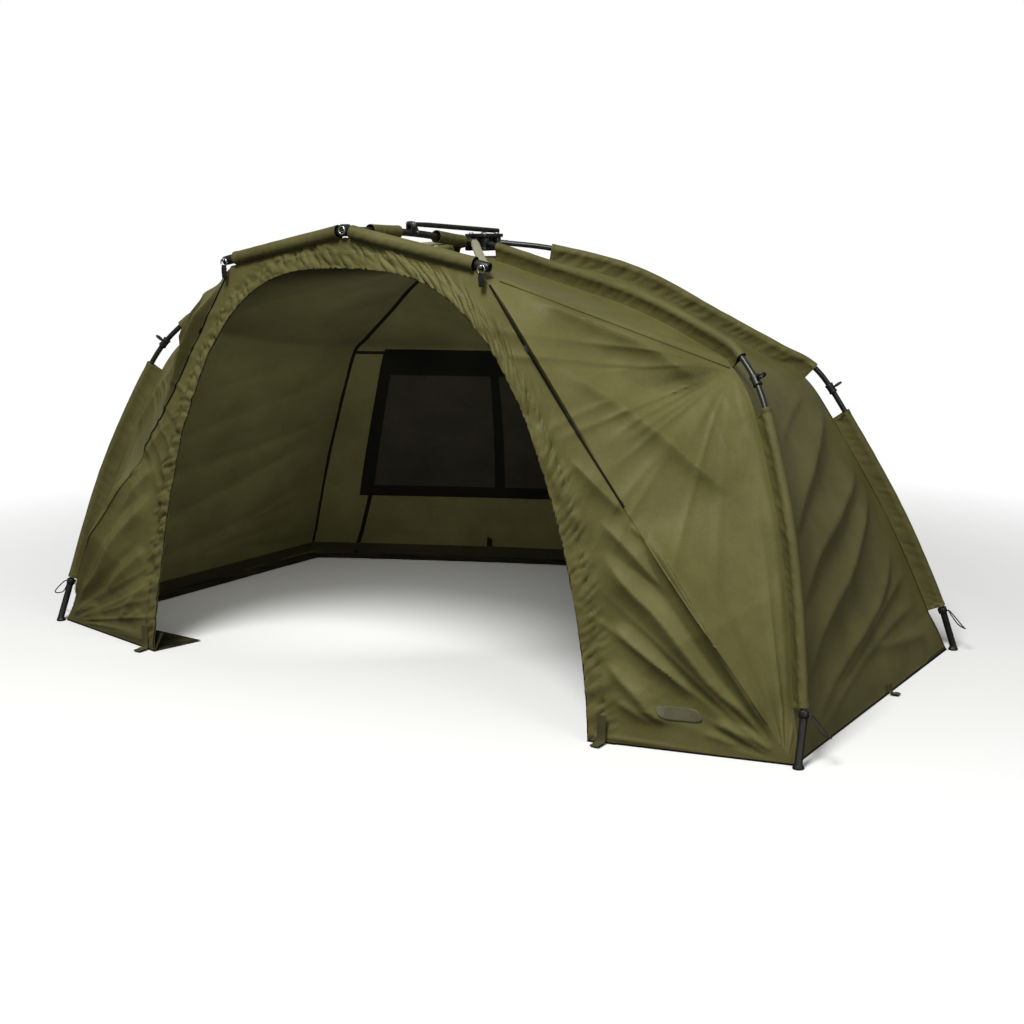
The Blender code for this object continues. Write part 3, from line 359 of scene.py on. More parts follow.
def lathe(middle, axis, profile, sides=24, looped=False):
    """A profile of (radius, height) turned round an axis, heights measured
    from the middle. A looped profile closes on itself, as a ring's does."""
    axis = unit(np.array(axis, float))
    aside = unit(np.cross(axis, (0.31, 0.17, 0.93) if abs(axis[2]) < 0.9 else (1.0, 0.2, 0.0)))
    other = np.cross(axis, aside)
    profile = np.array(profile, float)
    turn = ring(sides)
    points = (
        np.array(middle, float)
        + axis * profile[:, None, 1:]
        + (aside * turn[:, :1] + other * turn[:, 1:])[None] * profile[:, None, :1]
    )
    around = np.linspace(0, 1, sides)[None, :] * profile.max() * 2 * np.pi
    uv = np.stack(np.broadcast_arrays(around, profile[:, 1:]), axis=-1)
    return points.reshape(-1, 3), skinned(len(profile), sides, looped), uv.reshape(-1, 2)


def rounded_profile(low, high, radius, edge):
    """A bar's profile from one end to the other, its edges rounded."""
    turn = np.linspace(0, np.pi / 2, 4)
    start = [(radius - edge + edge * math.sin(a), low + edge - edge * math.cos(a)) for a in turn]
    return start + [(r, low + high - h) for r, h in reversed(start)]


for row, name, side in LEG_NAMES:
    line, end_at = leg_of(row, side)
    run = at_length(line, np.linspace(0.009, end_at - 0.0003, 150))
    pole = carried(run, square_to(run, (0.3, 0.2, 1.0)), ring(20), TUBE_RADIUS)
    outer = rounded_profile(-LUG_HIGH / 2, LUG_HIGH / 2, LUG_RADIUS, 0.0015)
    bore = [(PIN_BORE, LUG_HIGH / 2), (PIN_BORE, -LUG_HIGH / 2)]
    lug = lathe(line[0], (0, 0, 1), outer + bore, looped=True)
    rivet_at = at_length(line, 0.030)
    rivet = lathe(rivet_at, (0, 0, 1), rounded_profile(-0.0088, 0.0088, 0.003, 0.0012), 12)
    leg = mesh_of(f"leg_pole_{row}_{name}", joined(pole, lug, rivet), powder_coat, 35.0)
    fit(leg, f"leg_{row}_{name}", "black_tube", f"leg_tube_{row}_{name}")

# Leg ends
# Black nylon mouldings pushed over the tubes' lower ends: a collar that the
# cord loop is held in, a plain shank and a flared lip that stands on the ground.
# Moulded nylon: near black, faintly pitted, with a soft shine.
nylon = coated("black_moulded_nylon", "#0C0D0B", "#22251F", 0.44)

for row, name, side in LEG_NAMES:
    line, end_at = leg_of(row, side)
    top = at_length(line, end_at)
    down = unit(top - at_length(line, end_at - COLLAR_HIGH))
    foot = line[-1]
    neck = top + down * COLLAR_HIGH
    lip = foot + (0, 0, 0.012)
    stations = [
        (top, 0.0122),
        (top + down * 0.0008, 0.0132),
        (top + down * 0.002, COLLAR_RADIUS),
        (neck - down * 0.002, COLLAR_RADIUS),
        (neck - down * 0.0006, 0.0131),
        (neck, 0.0120),
        (neck + (lip - neck) * 0.02, 0.0103),
        (neck + (lip - neck) * 0.05, 0.0100),
        (neck + (lip - neck) * 0.50, 0.0100),
        (lip + (neck - lip) * 0.06, 0.0100),
        (lip, 0.0103),
        (lip + (foot - lip) * 0.35, 0.0120),
        (lip + (foot - lip) * 0.62, 0.0142),
        (lip + (foot - lip) * 0.80, 0.0145),
        (foot, 0.0140),
    ]
    route = np.array([p for p, _ in stations])
    ups = unit(np.cross(ways(route), (0.0, 1.0, 0.0)))
    ups[-2:] = (1.0, 0.0, 0.0)
    shank = carried(route, ups, ring(28), [r for _, r in stations])
    shank[0][:, 2] = np.maximum(shank[0][:, 2], 0.0)
    end = mesh_of(f"leg_end_{row}_{name}", shank, nylon, 50.0)
    fit(end, f"leg_{row}_{name}", "black_plastic", f"foot_{row}_{name}")

# Collars with an eye
# A nylon collar is moulded on the bare stretch of tube below each shoulder. Its
# eye takes a guy line or a clip.
BARE_TUBE = 0.160
ARM_LONG = {"front": lengths(FRONT[0])[-1], "rear": lengths(REAR[0])[-1]}


def outwards(line):
    """Directions square to a leg that point away from the shelter's inside:
    0.55 parts away from the hub to 0.85 parts up."""
    away = line - line[0]
    away[0] = away[1]
    away[:, 2] = 0
    return square_to(line, 0.55 * unit(away) + np.array([0, 0, 0.85]))


for row, name, side in LEG_NAMES:
    line = LEGS[row] * (side, 1, 1)
    middle_at = ARM_LONG[row] + BARE_TUBE / 2
    middle = at_length(line, middle_at)
    along = unit(at_length(line, middle_at + 0.015) - at_length(line, middle_at - 0.015))
    up = read_off(ARM_LONG[row] + 0.1, lengths(line), outwards(line))
    up = unit(up - along * (up @ along))
    sleeve = rounded_profile(-0.015, 0.015, 0.0125, 0.002)
    sleeve.insert(4, (0.0113, -0.006))
    sleeve.insert(5, (0.0113, 0.006))
    sleeve += [(TUBE_RADIUS + 0.0002, 0.0145), (TUBE_RADIUS + 0.0002, -0.0145)]
    collar = lathe(middle, along, sleeve, 28, looped=True)
    eye_middle = middle + up * 0.0232
    turn = np.linspace(0, 2 * np.pi, 40, endpoint=False)[:, None]
    eye_line = eye_middle + 0.010 * (np.cross(along, up) * np.cos(turn) + up * np.sin(turn))
    eye = carried(eye_line, along, ring(12) * (1.0, 0.85), 0.0034, looped=True)
    made = mesh_of(f"eye_collar_{row}_{name}_moulding", joined(collar, eye), nylon, 50.0)
    fit(made, f"leg_{row}_{name}", "black_plastic", f"eye_collar_{row}_{name}")

# Hub
# Two nylon plates hold the legs' lugs between them on a core, and two cheeks
# before them hold the peak's hinge. The four leg pins clamp it all together.
HUB_WIDE = 0.076
HUB_LONG = 0.100
PLATE_THICK = 0.010
PIN_SPOTS = [(x, y) for x in (-0.024, 0.024) for y in (-0.032, 0.032)]
LOW_PLATE = ARMS_HIGH - LUG_HIGH / 2 - 0.0003 - PLATE_THICK / 2
HIGH_PLATE = ARMS_HIGH + LUG_HIGH / 2 + 0.0003 + PLATE_THICK / 2
HINGE = np.array([0.0, HUB_MIDDLE - 0.062, ARMS_HIGH])


def rounded_rectangle(wide, high, corner, steps=5):
    """An outline with four rounded corners, round its middle."""
    turn = np.linspace(0, np.pi / 2, steps)
    arc = np.stack([np.sin(turn), np.cos(turn)], axis=1) * corner
    arc += (wide / 2 - corner, high / 2 - corner)
    low = arc[::-1] * (1, -1)
    return np.vstack([arc, low, low[::-1] * (-1, 1), arc[::-1] * (-1, 1)])


def stamped(name, outline, holes, thick, look, middle, right, up, edge=0.0008):
    """A flat plate with holes and softened edges, its outline given as steps to
    the right and up from the middle."""
    rings = [np.array(outline, float), *holes]
    loops, start = [], 0
    for loop in rings:
        loops += [(start + i, start + (i + 1) % len(loop)) for i in range(len(loop))]
        start += len(loop)
    flat = [Vector(spot) for spot in np.vstack(rings)]
    flat, _, faces, *_ = delaunay_2d_cdt(flat, loops, [], 5, 1e-7)
    flat = np.array(flat)
    points = np.array(middle) + flat[:, :1] * np.array(right) + flat[:, 1:] * np.array(up)
    made = mesh_of(name, (points, faces, flat), look, 35.0, outwards=False)
    body = made.modifiers.new("thickness", "SOLIDIFY")
    body.thickness = thick
    body.offset = 0
    soft = made.modifiers.new("soft_edges", "BEVEL")
    soft.width = edge
    soft.segments = 2
    soft.angle_limit = math.radians(40)
    return made


plate = rounded_rectangle(HUB_WIDE, HUB_LONG, 0.008, 7)
bores = [np.array(spot) + ring(24) * PIN_BORE for spot in PIN_SPOTS]
for name, node, high in (("lower", "hub_base", LOW_PLATE), ("upper", "hub_cap", HIGH_PLATE)):
    middle = (0, HUB_MIDDLE, high)
    size = (PLATE_THICK, nylon, middle, (1, 0, 0), (0, 1, 0), 0.0015)
    made = stamped(f"hub_plate_{name}", plate, bores, *size)
    fit(made, "hub_and_canopy", "black_plastic", node)
core_low, core_high = LOW_PLATE + 0.0048, HIGH_PLATE - 0.0054
heights = core_low + (core_high - core_low) * np.array([0, 0.04, 0.96, 1])
upright = np.array([(0, HUB_MIDDLE, height) for height in heights])
core = carried(upright, (0, 1, 0), rounded_rectangle(0.016, 0.090, 0.004), (0.875, 1, 1, 0.875))
fit(mesh_of("hub_core", core, nylon), "hub_and_canopy", "black_plastic", "hub_base")
for name, side in SIDES:
    made = stamped(
        f"hinge_cheek_{name}",
        rounded_rectangle(0.0245, 0.038, 0.0075, 7),
        [np.array([-0.00325, 0.0053]) + ring(24) * PIN_BORE],
        0.006,
        nylon,
        (side * 0.0143, HINGE[1] + 0.00325, ARMS_HIGH - 0.0053),
        (0, 1, 0),
        (0, 0, 1),
    )
    fit(made, "hub_and_canopy", "black_plastic", "hub_base")

# Leg pins and hinge pin
# Five bright steel pins: four upright ones that the legs turn on, with domed
# heads over washers, and one across that the peak's spine turns on.
# Nickel-plated steel: bright, brushed round, with fine dull scratches.
nickel, tree, shader = finish_of("nickel_plated_steel", {"Metallic": 1.0})
spot = add(tree, "TexCoord").node.outputs["Object"]
cloud = add(tree, "TexNoise", {"Vector": spot, "Scale": 260.0, "Detail": 4.0})
stretched = add(tree, "Mapping", {"Vector": spot, "Scale": (120.0, 120.0, 2600.0)})
brushed = add(tree, "TexNoise", {"Vector": stretched, "Scale": 1.0, "Detail": 2.0})
tone = add(tree, "Mix", {0: cloud, 6: linear("#A9A79C"), 7: linear("#D6D4CB")}, data_type="RGBA")
shine = add(tree, "MapRange", {"Value": cloud, "To Min": 0.18, "To Max": 0.42})
bump = add(tree, "Bump", {"Height": brushed, "Strength": 0.15, "Distance": 0.0002})
link(tree, shader, colour=tone, rough=shine, normal=bump)

PIN_RADIUS = 0.004


def domed(low, high, radius, head, dome):
    """A pin's profile with a domed head at its upper end."""
    turn = np.linspace(0, np.pi / 2, 5)[1:]
    cap = [(head * math.cos(a), high + dome * (0.35 + 0.65 * math.sin(a))) for a in turn[:-1]]
    shank = [(radius - 0.0006, low), (radius, low + 0.0006), (radius, high)]
    return [*shank, (head, high), (head, high + 0.35 * dome), *cap, (0.0004, high + dome)]


top = HIGH_PLATE + PLATE_THICK / 2 + 0.0003
for (x, y), name in zip(PIN_SPOTS, ("front_left", "rear_left", "front_right", "rear_right")):
    washer = [(0.0041, 0.0), (0.0078, 0.0), (0.0078, 0.0007), (0.0041, 0.0007)]
    low = LOW_PLATE - PLATE_THICK / 2 - top
    shapes = joined(
        lathe((x, HUB_MIDDLE + y, top), (0, 0, 1), domed(low, 0.0008, PIN_RADIUS, 0.0068, 0.0034)),
        lathe((x, HUB_MIDDLE + y, top), (0, 0, 1), washer, looped=True),
    )
    made = mesh_of(f"leg_pin_{name}", shapes, nickel, 35.0)
    fit(made, "hub_and_canopy", "bright_pin", f"arm_pin_{name}")
shape = lathe(HINGE, (1, 0, 0), domed(-0.0173, 0.0174, PIN_RADIUS, 0.0062, 0.0022))
fit(mesh_of("hinge_pin", shape, nickel, 35.0), "hub_and_canopy", "bright_pin", "peak_pin")

# Spine of the peak
# A black tube from the hinge to the apex. It carries the eye that turns on the
# hinge pin, a yoke for the two ribs and the two riveted ears of the lever.
APEX = np.array([0.0, FRONT_FEET - 0.092, ARMS_HIGH + 0.044])
SPINE_RADIUS = 0.010
over = (HINGE + APEX) / 2 + (0, 0, 0.010)
spine_line = smooth([HINGE - (0, 0.010, 0), over, APEX + (0, 0.0159, 0)], 64)


def spine_at(behind):
    """The spine's middle at a distance behind the front feet."""
    y = FRONT_FEET + behind
    return np.array([0, y, np.interp(y, spine_line[::-1, 1], spine_line[::-1, 2])])


YOKE = spine_at(0.463)
PIVOT = spine_at(0.200) + (0, 0, 0.024)
pole = carried(spine_line, square_to(spine_line, (0, 0, 1)), ring(24), SPINE_RADIUS)
bore = [(PIN_BORE, 0.011), (PIN_BORE, -0.011)]
eye_profile = rounded_profile(-0.011, 0.011, 0.0125, 0.0012) + bore
eye = lathe(HINGE, (1, 0, 0), eye_profile, 28, looped=True)
bar = lathe(YOKE, (1, 0, 0), rounded_profile(-0.026, 0.026, 0.009, 0.0015), 24)
saddle = carried(
    np.array([YOKE + (0, y, 0) for y in (-0.016, -0.015, 0.0125, 0.0135)]),
    (0, 0, 1),
    rounded_rectangle(0.030, 0.024, 0.006),
    (0.95, 1, 1, 0.95),
)
made = mesh_of("spine_pole", joined(pole, eye, bar, saddle), powder_coat, 35.0)
fit(made, "peak", "black_tube", "spine_tube")
ear = [
    (-0.010, -0.029), (-0.007, -0.031), (0.022, -0.031), (0.025, -0.028), (0.025, -0.019),
    (0.013, -0.001), (0.009, 0.005), (0.004, 0.0078), (-0.003, 0.0078), (-0.008, 0.004),
    (-0.010, -0.002),
]
for name, side in SIDES:
    spot = PIVOT + (side * 0.0083, 0, 0)
    size = (0.004, powder_coat, spot, (0, 1, 0), (0, 0, 1))
    made = stamped(f"lever_ear_{name}", ear, [ring(20) * 0.0038], *size)
    fit(made, "peak", "black_tube", "spine_tube")
through = domed(-0.0115, 0.0105, 0.0028, 0.0048, 0.0018)
small = domed(-0.001, 0.0008, 0.003, 0.0050, 0.0020)
rivets = joined(
    lathe(PIVOT + (0, 0.018, -0.021), (1, 0, 0), through, 20),
    *(lathe(YOKE + (x, -0.015, 0.001), (0, -1, 0), small, 20) for x in (0.009, -0.009)),
)
fit(mesh_of("spine_rivets", rivets, nickel, 35.0), "peak", "bright_pin", "spine_tube")

# Tension lever
# A black bar that swings on a steel trunnion between the ears. Pressed down on
# the hub, it pulls the peak tight.
LEVER_REST = np.array([0, FRONT_FEET + 0.640, HIGH_PLATE + PLATE_THICK / 2 + 0.0058])
lever_way = unit(LEVER_REST - PIVOT)
far = np.linalg.norm(LEVER_REST - PIVOT)
from_end = far - np.array([0.10, 0.012, 0.003, 0.0008, 0])
stops = np.concatenate([[0.002, 0.006, 0.030, 0.080], from_end])
grip = PIVOT + lever_way * stops[:, None]
outline = rounded_rectangle(0.0130, 0.0140, 0.0042) + (0, 0.0015)
tapers = np.array([0.74, 0.80, 0.90, 1.0, 1.0, 1.0, 1.0, 0.95, 0.80])
outlines = outline[None] * tapers[:, None, None] - (0, 0.0055) * (1 - tapers)[:, None, None]
bar = carried(grip, square_to(grip, (0, 0, 1)), outlines)
eye = lathe(PIVOT, (1, 0, 0), rounded_profile(-0.006, 0.006, 0.0085, 0.001), 28)
made = mesh_of("lever_bar", joined(bar, eye), powder_coat, 35.0)
fit(made, "lever", "black_tube", "tension_lever")
head = domed(0, 0.0106, 0.0035, 0.0075, 0.0030)
ends = joined(lathe(PIVOT, (1, 0, 0), head, 28), lathe(PIVOT, (-1, 0, 0), head, 28))
fit(mesh_of("lever_trunnion", ends, nickel, 35.0), "lever", "bright_pin", "tension_lever")

# Apex fitting and bars
# The spine ends in a nylon fitting with a bright tube end at its front. Two
# black bars are pushed into it and run out to the peak's corners.
CORNER = np.array([0.421, FRONT_FEET - 0.074, ARMS_HIGH - 0.040])
BAR_WAY = unit(CORNER - APEX)
BLOCK_MIDDLE = CORNER + BAR_WAY * 0.010
BAR_FROM = APEX + BAR_WAY * 0.0166
BAR_TO = BLOCK_MIDDLE - BAR_WAY * 0.0263
profile = [
    (0.0125, -0.0150), (0.0152, -0.0142), (0.0160, -0.0125), (0.0160, 0.0115), (0.0152, 0.0140),
    (0.0135, 0.0150), (0.0118, 0.0148), (0.0112, 0.0120), (0.0112, 0.0080), (0.0008, 0.0080),
]
body = lathe(APEX, (0, -1, 0), profile, 32)
fit(mesh_of("apex_moulding", body, nylon, 40.0), "peak", "black_plastic", "apex_fitting")
wire = [(0.0098 + 0.0022 * a, 0.0138 + 0.0022 * b) for a, b in ring(12)]
tube_end = [(0.0052, 0.0082), (0.0052, 0.0120), (0.0040, 0.0124), (0.0040, 0.0082)]
rings = joined(
    lathe(APEX, (0, -1, 0), wire, 36, looped=True),
    lathe(APEX, (0, -1, 0), tube_end, 24, looped=True),
)
fit(mesh_of("apex_ring", rings, nickel, 50.0), "peak", "bright_pin", "apex_fitting")
for name, side in SIDES:
    run = np.array([BAR_FROM, BAR_TO]) * (side, 1, 1)
    bar = carried(run, square_to(run, (0, 0, 1)), ring(20), TUBE_RADIUS)
    fit(mesh_of(f"peak_pole_{name}", bar, powder_coat), "peak", "black_tube", f"peak_bar_{name}")

# Corner fittings
# Nylon sockets on the bars' outer ends, which take the ribs too. A small steel
# pin on the front of each holds the hanging clip.
CLIP_OFF = 0.0155 + math.hypot(0.016, 0.0155) / 2 * abs(BAR_WAY[1]) + 0.0033
for name, side in SIDES:
    middle, way = BLOCK_MIDDLE * (side, 1, 1), BAR_WAY * (side, 1, 1)
    profile = [
        (0.0100, -0.0260), (0.0124, -0.0252), (0.0130, -0.0235), (0.0130, 0.0040),
        (0.0127, 0.0055), (0.0118, 0.0066), (0.0118, 0.0090), (0.0110, 0.0112), (0.0085, 0.0120),
        (0.0085, 0.0080), (0.0008, 0.0080),
    ]
    rim = [(0.0106 + 0.0020 * a, 0.0118 + 0.0020 * b) for a, b in ring(12)]
    body = joined(lathe(middle, way, profile, 32), lathe(middle, way, rim, 32, looped=True))
    made = mesh_of(f"corner_socket_{name}", body, nylon, 40.0)
    fit(made, "peak", "black_plastic", f"corner_fitting_{name}")
    pin = domed(0.012 - CLIP_OFF, 0.0033, 0.0022, 0.0044, 0.0016)
    pin = lathe(middle - (0, CLIP_OFF, 0), (0, -1, 0), pin, 20)
    made = mesh_of(f"corner_pin_{name}", pin, nickel, 50.0)
    fit(made, "peak", "bright_pin", f"corner_fitting_{name}")

# Hanging clips
# A bright steel ring hangs on each corner's pin. A black nylon buckle half is
# moulded round it: a barrel and two prongs with a slot, which hold a door.
half = [
    (0.0046, -0.0150), (0.0062, -0.0178), (0.0080, -0.0200), (0.0080, -0.0370), (0.0066, -0.0410),
    (0.0072, -0.0455), (0.0050, -0.0500),
]
for name, side in SIDES:
    pivot = BLOCK_MIDDLE * (side, 1, 1) - (0, CLIP_OFF, 0)
    wire = [(0.0106 + 0.0019 * a, 0.0019 * b) for a, b in ring(12)]
    hung = lathe(pivot - (0, 0, 0.0064), (0, -1, 0), wire, 40, looped=True)
    made = mesh_of(f"clip_ring_{name}", hung, nickel, 50.0)
    fit(made, f"clip_{name}", "bright_pin", f"corner_clip_{name}")
    outline = half + [(-x, z) for x, z in reversed(half)]
    slot = rounded_rectangle(0.0046, 0.0150, 0.0020) + (0, -0.0310)
    made = stamped(
        f"clip_buckle_{name}", outline, [slot], 0.0058, nylon, pivot, (1, 0, 0), (0, 0, 1), 0.0012
    )
    fit(made, f"clip_{name}", "black_plastic", f"corner_clip_{name}")
    barrel = rounded_profile(-0.0058, 0.0058, 0.0040, 0.001)
    barrel = lathe(pivot - (0, 0, 0.0168), (1, 0, 0), barrel, 20)
    fit(mesh_of(f"clip_barrel_{name}", barrel, nylon, 50.0), f"clip_{name}", "black_plastic")

# Side walls
# The shelter's skin is one shell of coated polyester, sewn from panels. On each
# side a wall hangs from the front and the rear leg, 40 mm inside their tubes.
CLOTH_IN = 0.040
HEM_HIGH = 0.001
CLOTH_THICK = 0.0011
ARM_ROWS = 112
LEG_ROWS = 118


def along_stations(line, share, stations):
    """The points of an even line at these stations of a coarser count."""
    at = np.asarray(share) * (len(line) - 1) / stations
    return read_off(at, np.arange(len(line)), line)


def skin_lines(arm, leg):
    """Where cloth meets a leg: 40 mm inside the tube's middle, from the crown
    beside the hub to the shoulder, and from there to the ground, where its
    corner comes in to the leg end."""
    whole = np.vstack([arm, leg[1:]])
    off = np.interp(whole[:, 2], (0.0, 0.125), (0.0180, CLOTH_IN))[:, None]
    inside = whole - outwards(whole) * off
    inside[-1, 2] = HEM_HIGH
    place = np.linspace(0, 8, ARM_ROWS + 1)
    place = np.where(place < 1, 0.18 + 0.82 * place, place)
    over = along_stations(inside[: len(arm)], place, 8)
    under = along_stations(inside[len(arm) - 1 :], np.linspace(0, 9, LEG_ROWS + 1), 9)
    return over, under


FRONT_OVER, FRONT_UNDER = skin_lines(*FRONT)
REAR_OVER, REAR_UNDER = skin_lines(*REAR)
FRONT_SKIN = np.vstack([FRONT_OVER, FRONT_UNDER[1:]])
REAR_SKIN = np.vstack([REAR_OVER, REAR_UNDER[1:]])
SHOULDER, FOOT, REAR_FOOT = FRONT_UNDER[0], FRONT_UNDER[-1], REAR_UNDER[-1]


def spanned(first, last, columns, crowding=1.0):
    """Straight threads from one line's points to the other's. Their columns
    lie at the shares (k / columns)^crowding."""
    share = np.linspace(0, 1, columns + 1)[None, :, None] ** crowding
    return first[:, None] * (1 - share) + last[:, None] * share


def facing(grid):
    """Unit normals of a sheet: down its columns crossed with along its rows."""
    n = np.cross(np.gradient(grid, axis=0), np.gradient(grid, axis=1))
    return n / np.maximum(np.linalg.norm(n, axis=2, keepdims=True), 1e-9)


def laid_out(grid):
    """Each point's distance along its row and down its column."""
    across = np.linalg.norm(np.diff(grid, axis=1), axis=2)
    down = np.linalg.norm(np.diff(grid, axis=0), axis=2)
    return (
        np.pad(np.cumsum(across, axis=1), ((0, 0), (1, 0))),
        np.pad(np.cumsum(down, axis=0), ((1, 0), (0, 0))),
    )


def eased(t):
    """0 below 0 and 1 above 1, with 3t^2 - 2t^3 between."""
    t = np.clip(t, 0, 1)
    return t * t * (3 - 2 * t)


def sagged(grid, depth):
    """The sheet drawn in between its borders by a half sine both ways."""
    rows, columns = grid.shape[:2]
    down = np.sin(np.pi * np.linspace(0, 1, rows))[:, None, None]
    across = np.sin(np.pi * np.linspace(0, 1, columns))[None, :, None]
    return grid - facing(grid) * depth * down * across


def random_hills(x, y, seed):
    """Smooth random numbers from -1 to 1 over the plane: one seeded number at
    each whole x and y, eased between by 3t^2 - 2t^3."""
    table = np.random.default_rng(seed).uniform(-1, 1, (128, 128))
    i, j = np.floor(x).astype(int), np.floor(y).astype(int)
    fx, fy = eased(x - i), eased(y - j)
    low = table[i % 128, j % 128] * (1 - fx) + table[(i + 1) % 128, j % 128] * fx
    high = table[i % 128, (j + 1) % 128] * (1 - fx) + table[(i + 1) % 128, (j + 1) % 128] * fx
    return low * (1 - fy) + high * fy


def fold_rise(across, up, folds):
    """How far cloth stands proud in its folds, over a flat view. Each fold has
    its widths at the start, the middle and the end, how steep it is, how much
    wider it is on its left, and the places of a smooth line. Beside it the cloth
    rises by steep * width * exp(-(distance / width)^1.1), with the crest
    rounded off, and along it the fold fades towards both ends. Where two folds
    meet, the higher one counts, and three tenths of the lower."""
    flat = np.stack([across, up], axis=-1)[..., None, :]
    rise = np.zeros(np.shape(across))
    for widths, steep, lean, *spots in folds:
        line = smooth([(a, 0, b) for a, b in spots], 12)[:, ::2]
        start, step = line[:-1], np.diff(line, axis=0)
        share = np.clip(np.sum((flat - start) * step, axis=-1) / np.sum(step**2, axis=-1), 0, 1)
        apart = flat - (start + share[..., None] * step)
        far = np.linalg.norm(apart, axis=-1)
        near = np.argmin(far, axis=-1)[..., None]
        left = step[:, 0] * apart[..., 1] - step[:, 1] * apart[..., 0] > 0
        left = np.take_along_axis(left, near, -1)[..., 0]
        way = (near[..., 0] + np.take_along_axis(share, near, -1)[..., 0]) / len(step)
        far = np.hypot(np.take_along_axis(far, near, -1)[..., 0], 0.0045)
        wide = np.interp(way, (0, 0.5, 1), widths)
        ridge = np.exp(-((far / (wide * np.where(left, lean, 1.0))) ** 1.1))
        one = steep * wide * ridge * eased(way / 0.2) * eased((1 - way) / 0.2)
        rise = np.maximum(rise, one) + 0.3 * np.minimum(rise, one)
    return rise


def edge_share(grid, left, right, top, bottom):
    """0 on the sheet's borders, growing to 1 these distances in from them."""
    across, down = laid_out(grid)
    share = np.ones(grid.shape[:2])
    for gap, border in (
        (across, left),
        (across[:, -1:] - across, right),
        (down, top),
        (down[-1:] - down, bottom),
    ):
        if border:
            share = share * eased(gap / border)
    return share


def raised(grid, rise):
    """The sheet moved along its normals."""
    return grid + facing(grid) * rise[..., None]


def handed(grid, side):
    """A right-hand sheet, or its mirror image for the left, facing out."""
    return grid if side > 0 else (grid * (-1, 1, 1))[:, ::-1]


BANDS_APART = math.pi / 10


def woven(name, light, dark, apart, rough, sheen, dirt=0.0):
    """Cloth: over-and-under threads a distance apart, with painted shade in the gaps between them,
    a tone that wanders from light to dark over hand-wide patches, soft crumples and a coating whose
    shine wanders. Dirt browns the lowest part, and its very edge, which stands on the ground, is
    bound in black."""
    sockets = {"IOR": 1.5, "Specular IOR Level": 0.12}
    sockets |= {"Sheen Weight": sheen, "Sheen Roughness": 0.45}
    look, tree, shader = finish_of(name, sockets)
    spot = add(tree, "TexCoord").node.outputs["Object"]
    flat = add(tree, "UVMap", uv_map="cut")
    # The wave texture's own bands are a tenth of pi apart.
    fine = BANDS_APART / apart
    threads = add(tree, "Mapping", {"Vector": flat, "Scale": (fine, fine, 1.0)})
    warp = add(tree, "TexWave", {"Vector": threads, "Scale": 1.0}, bands_direction="X")
    weft = add(tree, "TexWave", {"Vector": threads, "Scale": 1.0}, bands_direction="Y")
    weave = add(tree, "Math", {0: warp, 1: weft}, operation="MULTIPLY")
    patch = add(tree, "TexNoise", {"Vector": spot, "Scale": 5.0, "Detail": 4.0, "Roughness": 0.6})
    grain = add(tree, "TexNoise", {"Vector": spot, "Scale": 160.0, "Detail": 3.0})
    blend = add(tree, "Math", {0: patch, 1: 0.75}, operation="MULTIPLY")
    blend = add(tree, "Math", {0: grain, 1: 0.25, 2: blend}, operation="MULTIPLY_ADD")
    blend = add(tree, "MapRange", {"Value": blend, "From Min": 0.34, "From Max": 0.66})
    tone = add(tree, "Mix", {0: blend, 6: linear(dark), 7: linear(light)}, data_type="RGBA")
    # Painted shade: the gaps between the threads are darkened towards near black.
    thread_gap_shade = add(tree, "MapRange", {"Value": weave, "To Min": 0.10, "To Max": 0.0})
    tone = add(tree, "Mix", {0: thread_gap_shade, 6: tone, 7: linear("#17170F")}, data_type="RGBA")
    if dirt:
        height = add(tree, "SeparateXYZ", {0: spot}).node.outputs["Z"]
        fade = {"Value": height, "From Min": 0.0, "From Max": 0.10, "To Min": 1.0, "To Max": 0.0}
        low = add(tree, "MapRange", fade)
        mud = {"Vector": spot, "Scale": 22.0, "Detail": 6.0, "Roughness": 0.75}
        mud = add(tree, "TexNoise", mud)
        low = add(tree, "Math", {0: low, 1: mud}, operation="MULTIPLY")
        low = add(tree, "Math", {0: low, 1: dirt}, operation="MULTIPLY")
        tone = add(tree, "Mix", {0: low, 6: tone, 7: linear("#5C5238")}, data_type="RGBA")
        edge = add(tree, "MapRange", {"Value": height, "From Min": 0.007, "From Max": 0.004})
        tone = add(tree, "Mix", {0: edge, 6: tone, 7: linear("#0E0E0A")}, data_type="RGBA")
    shine = add(tree, "MapRange", {"Value": patch, "To Min": rough - 0.06, "To Max": rough + 0.10})
    crumple = {"Vector": spot, "Scale": 26.0, "Detail": 5.0, "Roughness": 0.55}
    crumple = add(tree, "TexNoise", crumple)
    bump = add(tree, "Bump", {"Height": crumple, "Strength": 0.22, "Distance": 0.004})
    threads = {"Height": weave, "Strength": 0.35, "Distance": 0.0004, "Normal": bump}
    bump = add(tree, "Bump", threads)
    link(tree, shader, colour=tone, rough=shine, normal=bump)
    return look


# Polyester oxford, polyurethane-coated inside: olive, closely woven, faintly
# shiny outside. Its threads are 0.5 mm apart, drawn 1.5 mm apart to show.
DRAWN_THREAD = 0.001508
olive = woven("coated_olive_polyester", "#6A663C", "#5A5630", DRAWN_THREAD, 0.46, 0.0, 0.35)
# The coated inner face of the same cloth: a little paler, with a faint bloom.
lining = woven("polyurethane_coating_inside", "#6E6B42", "#5C5935", DRAWN_THREAD, 0.46, 0.02, 0.3)


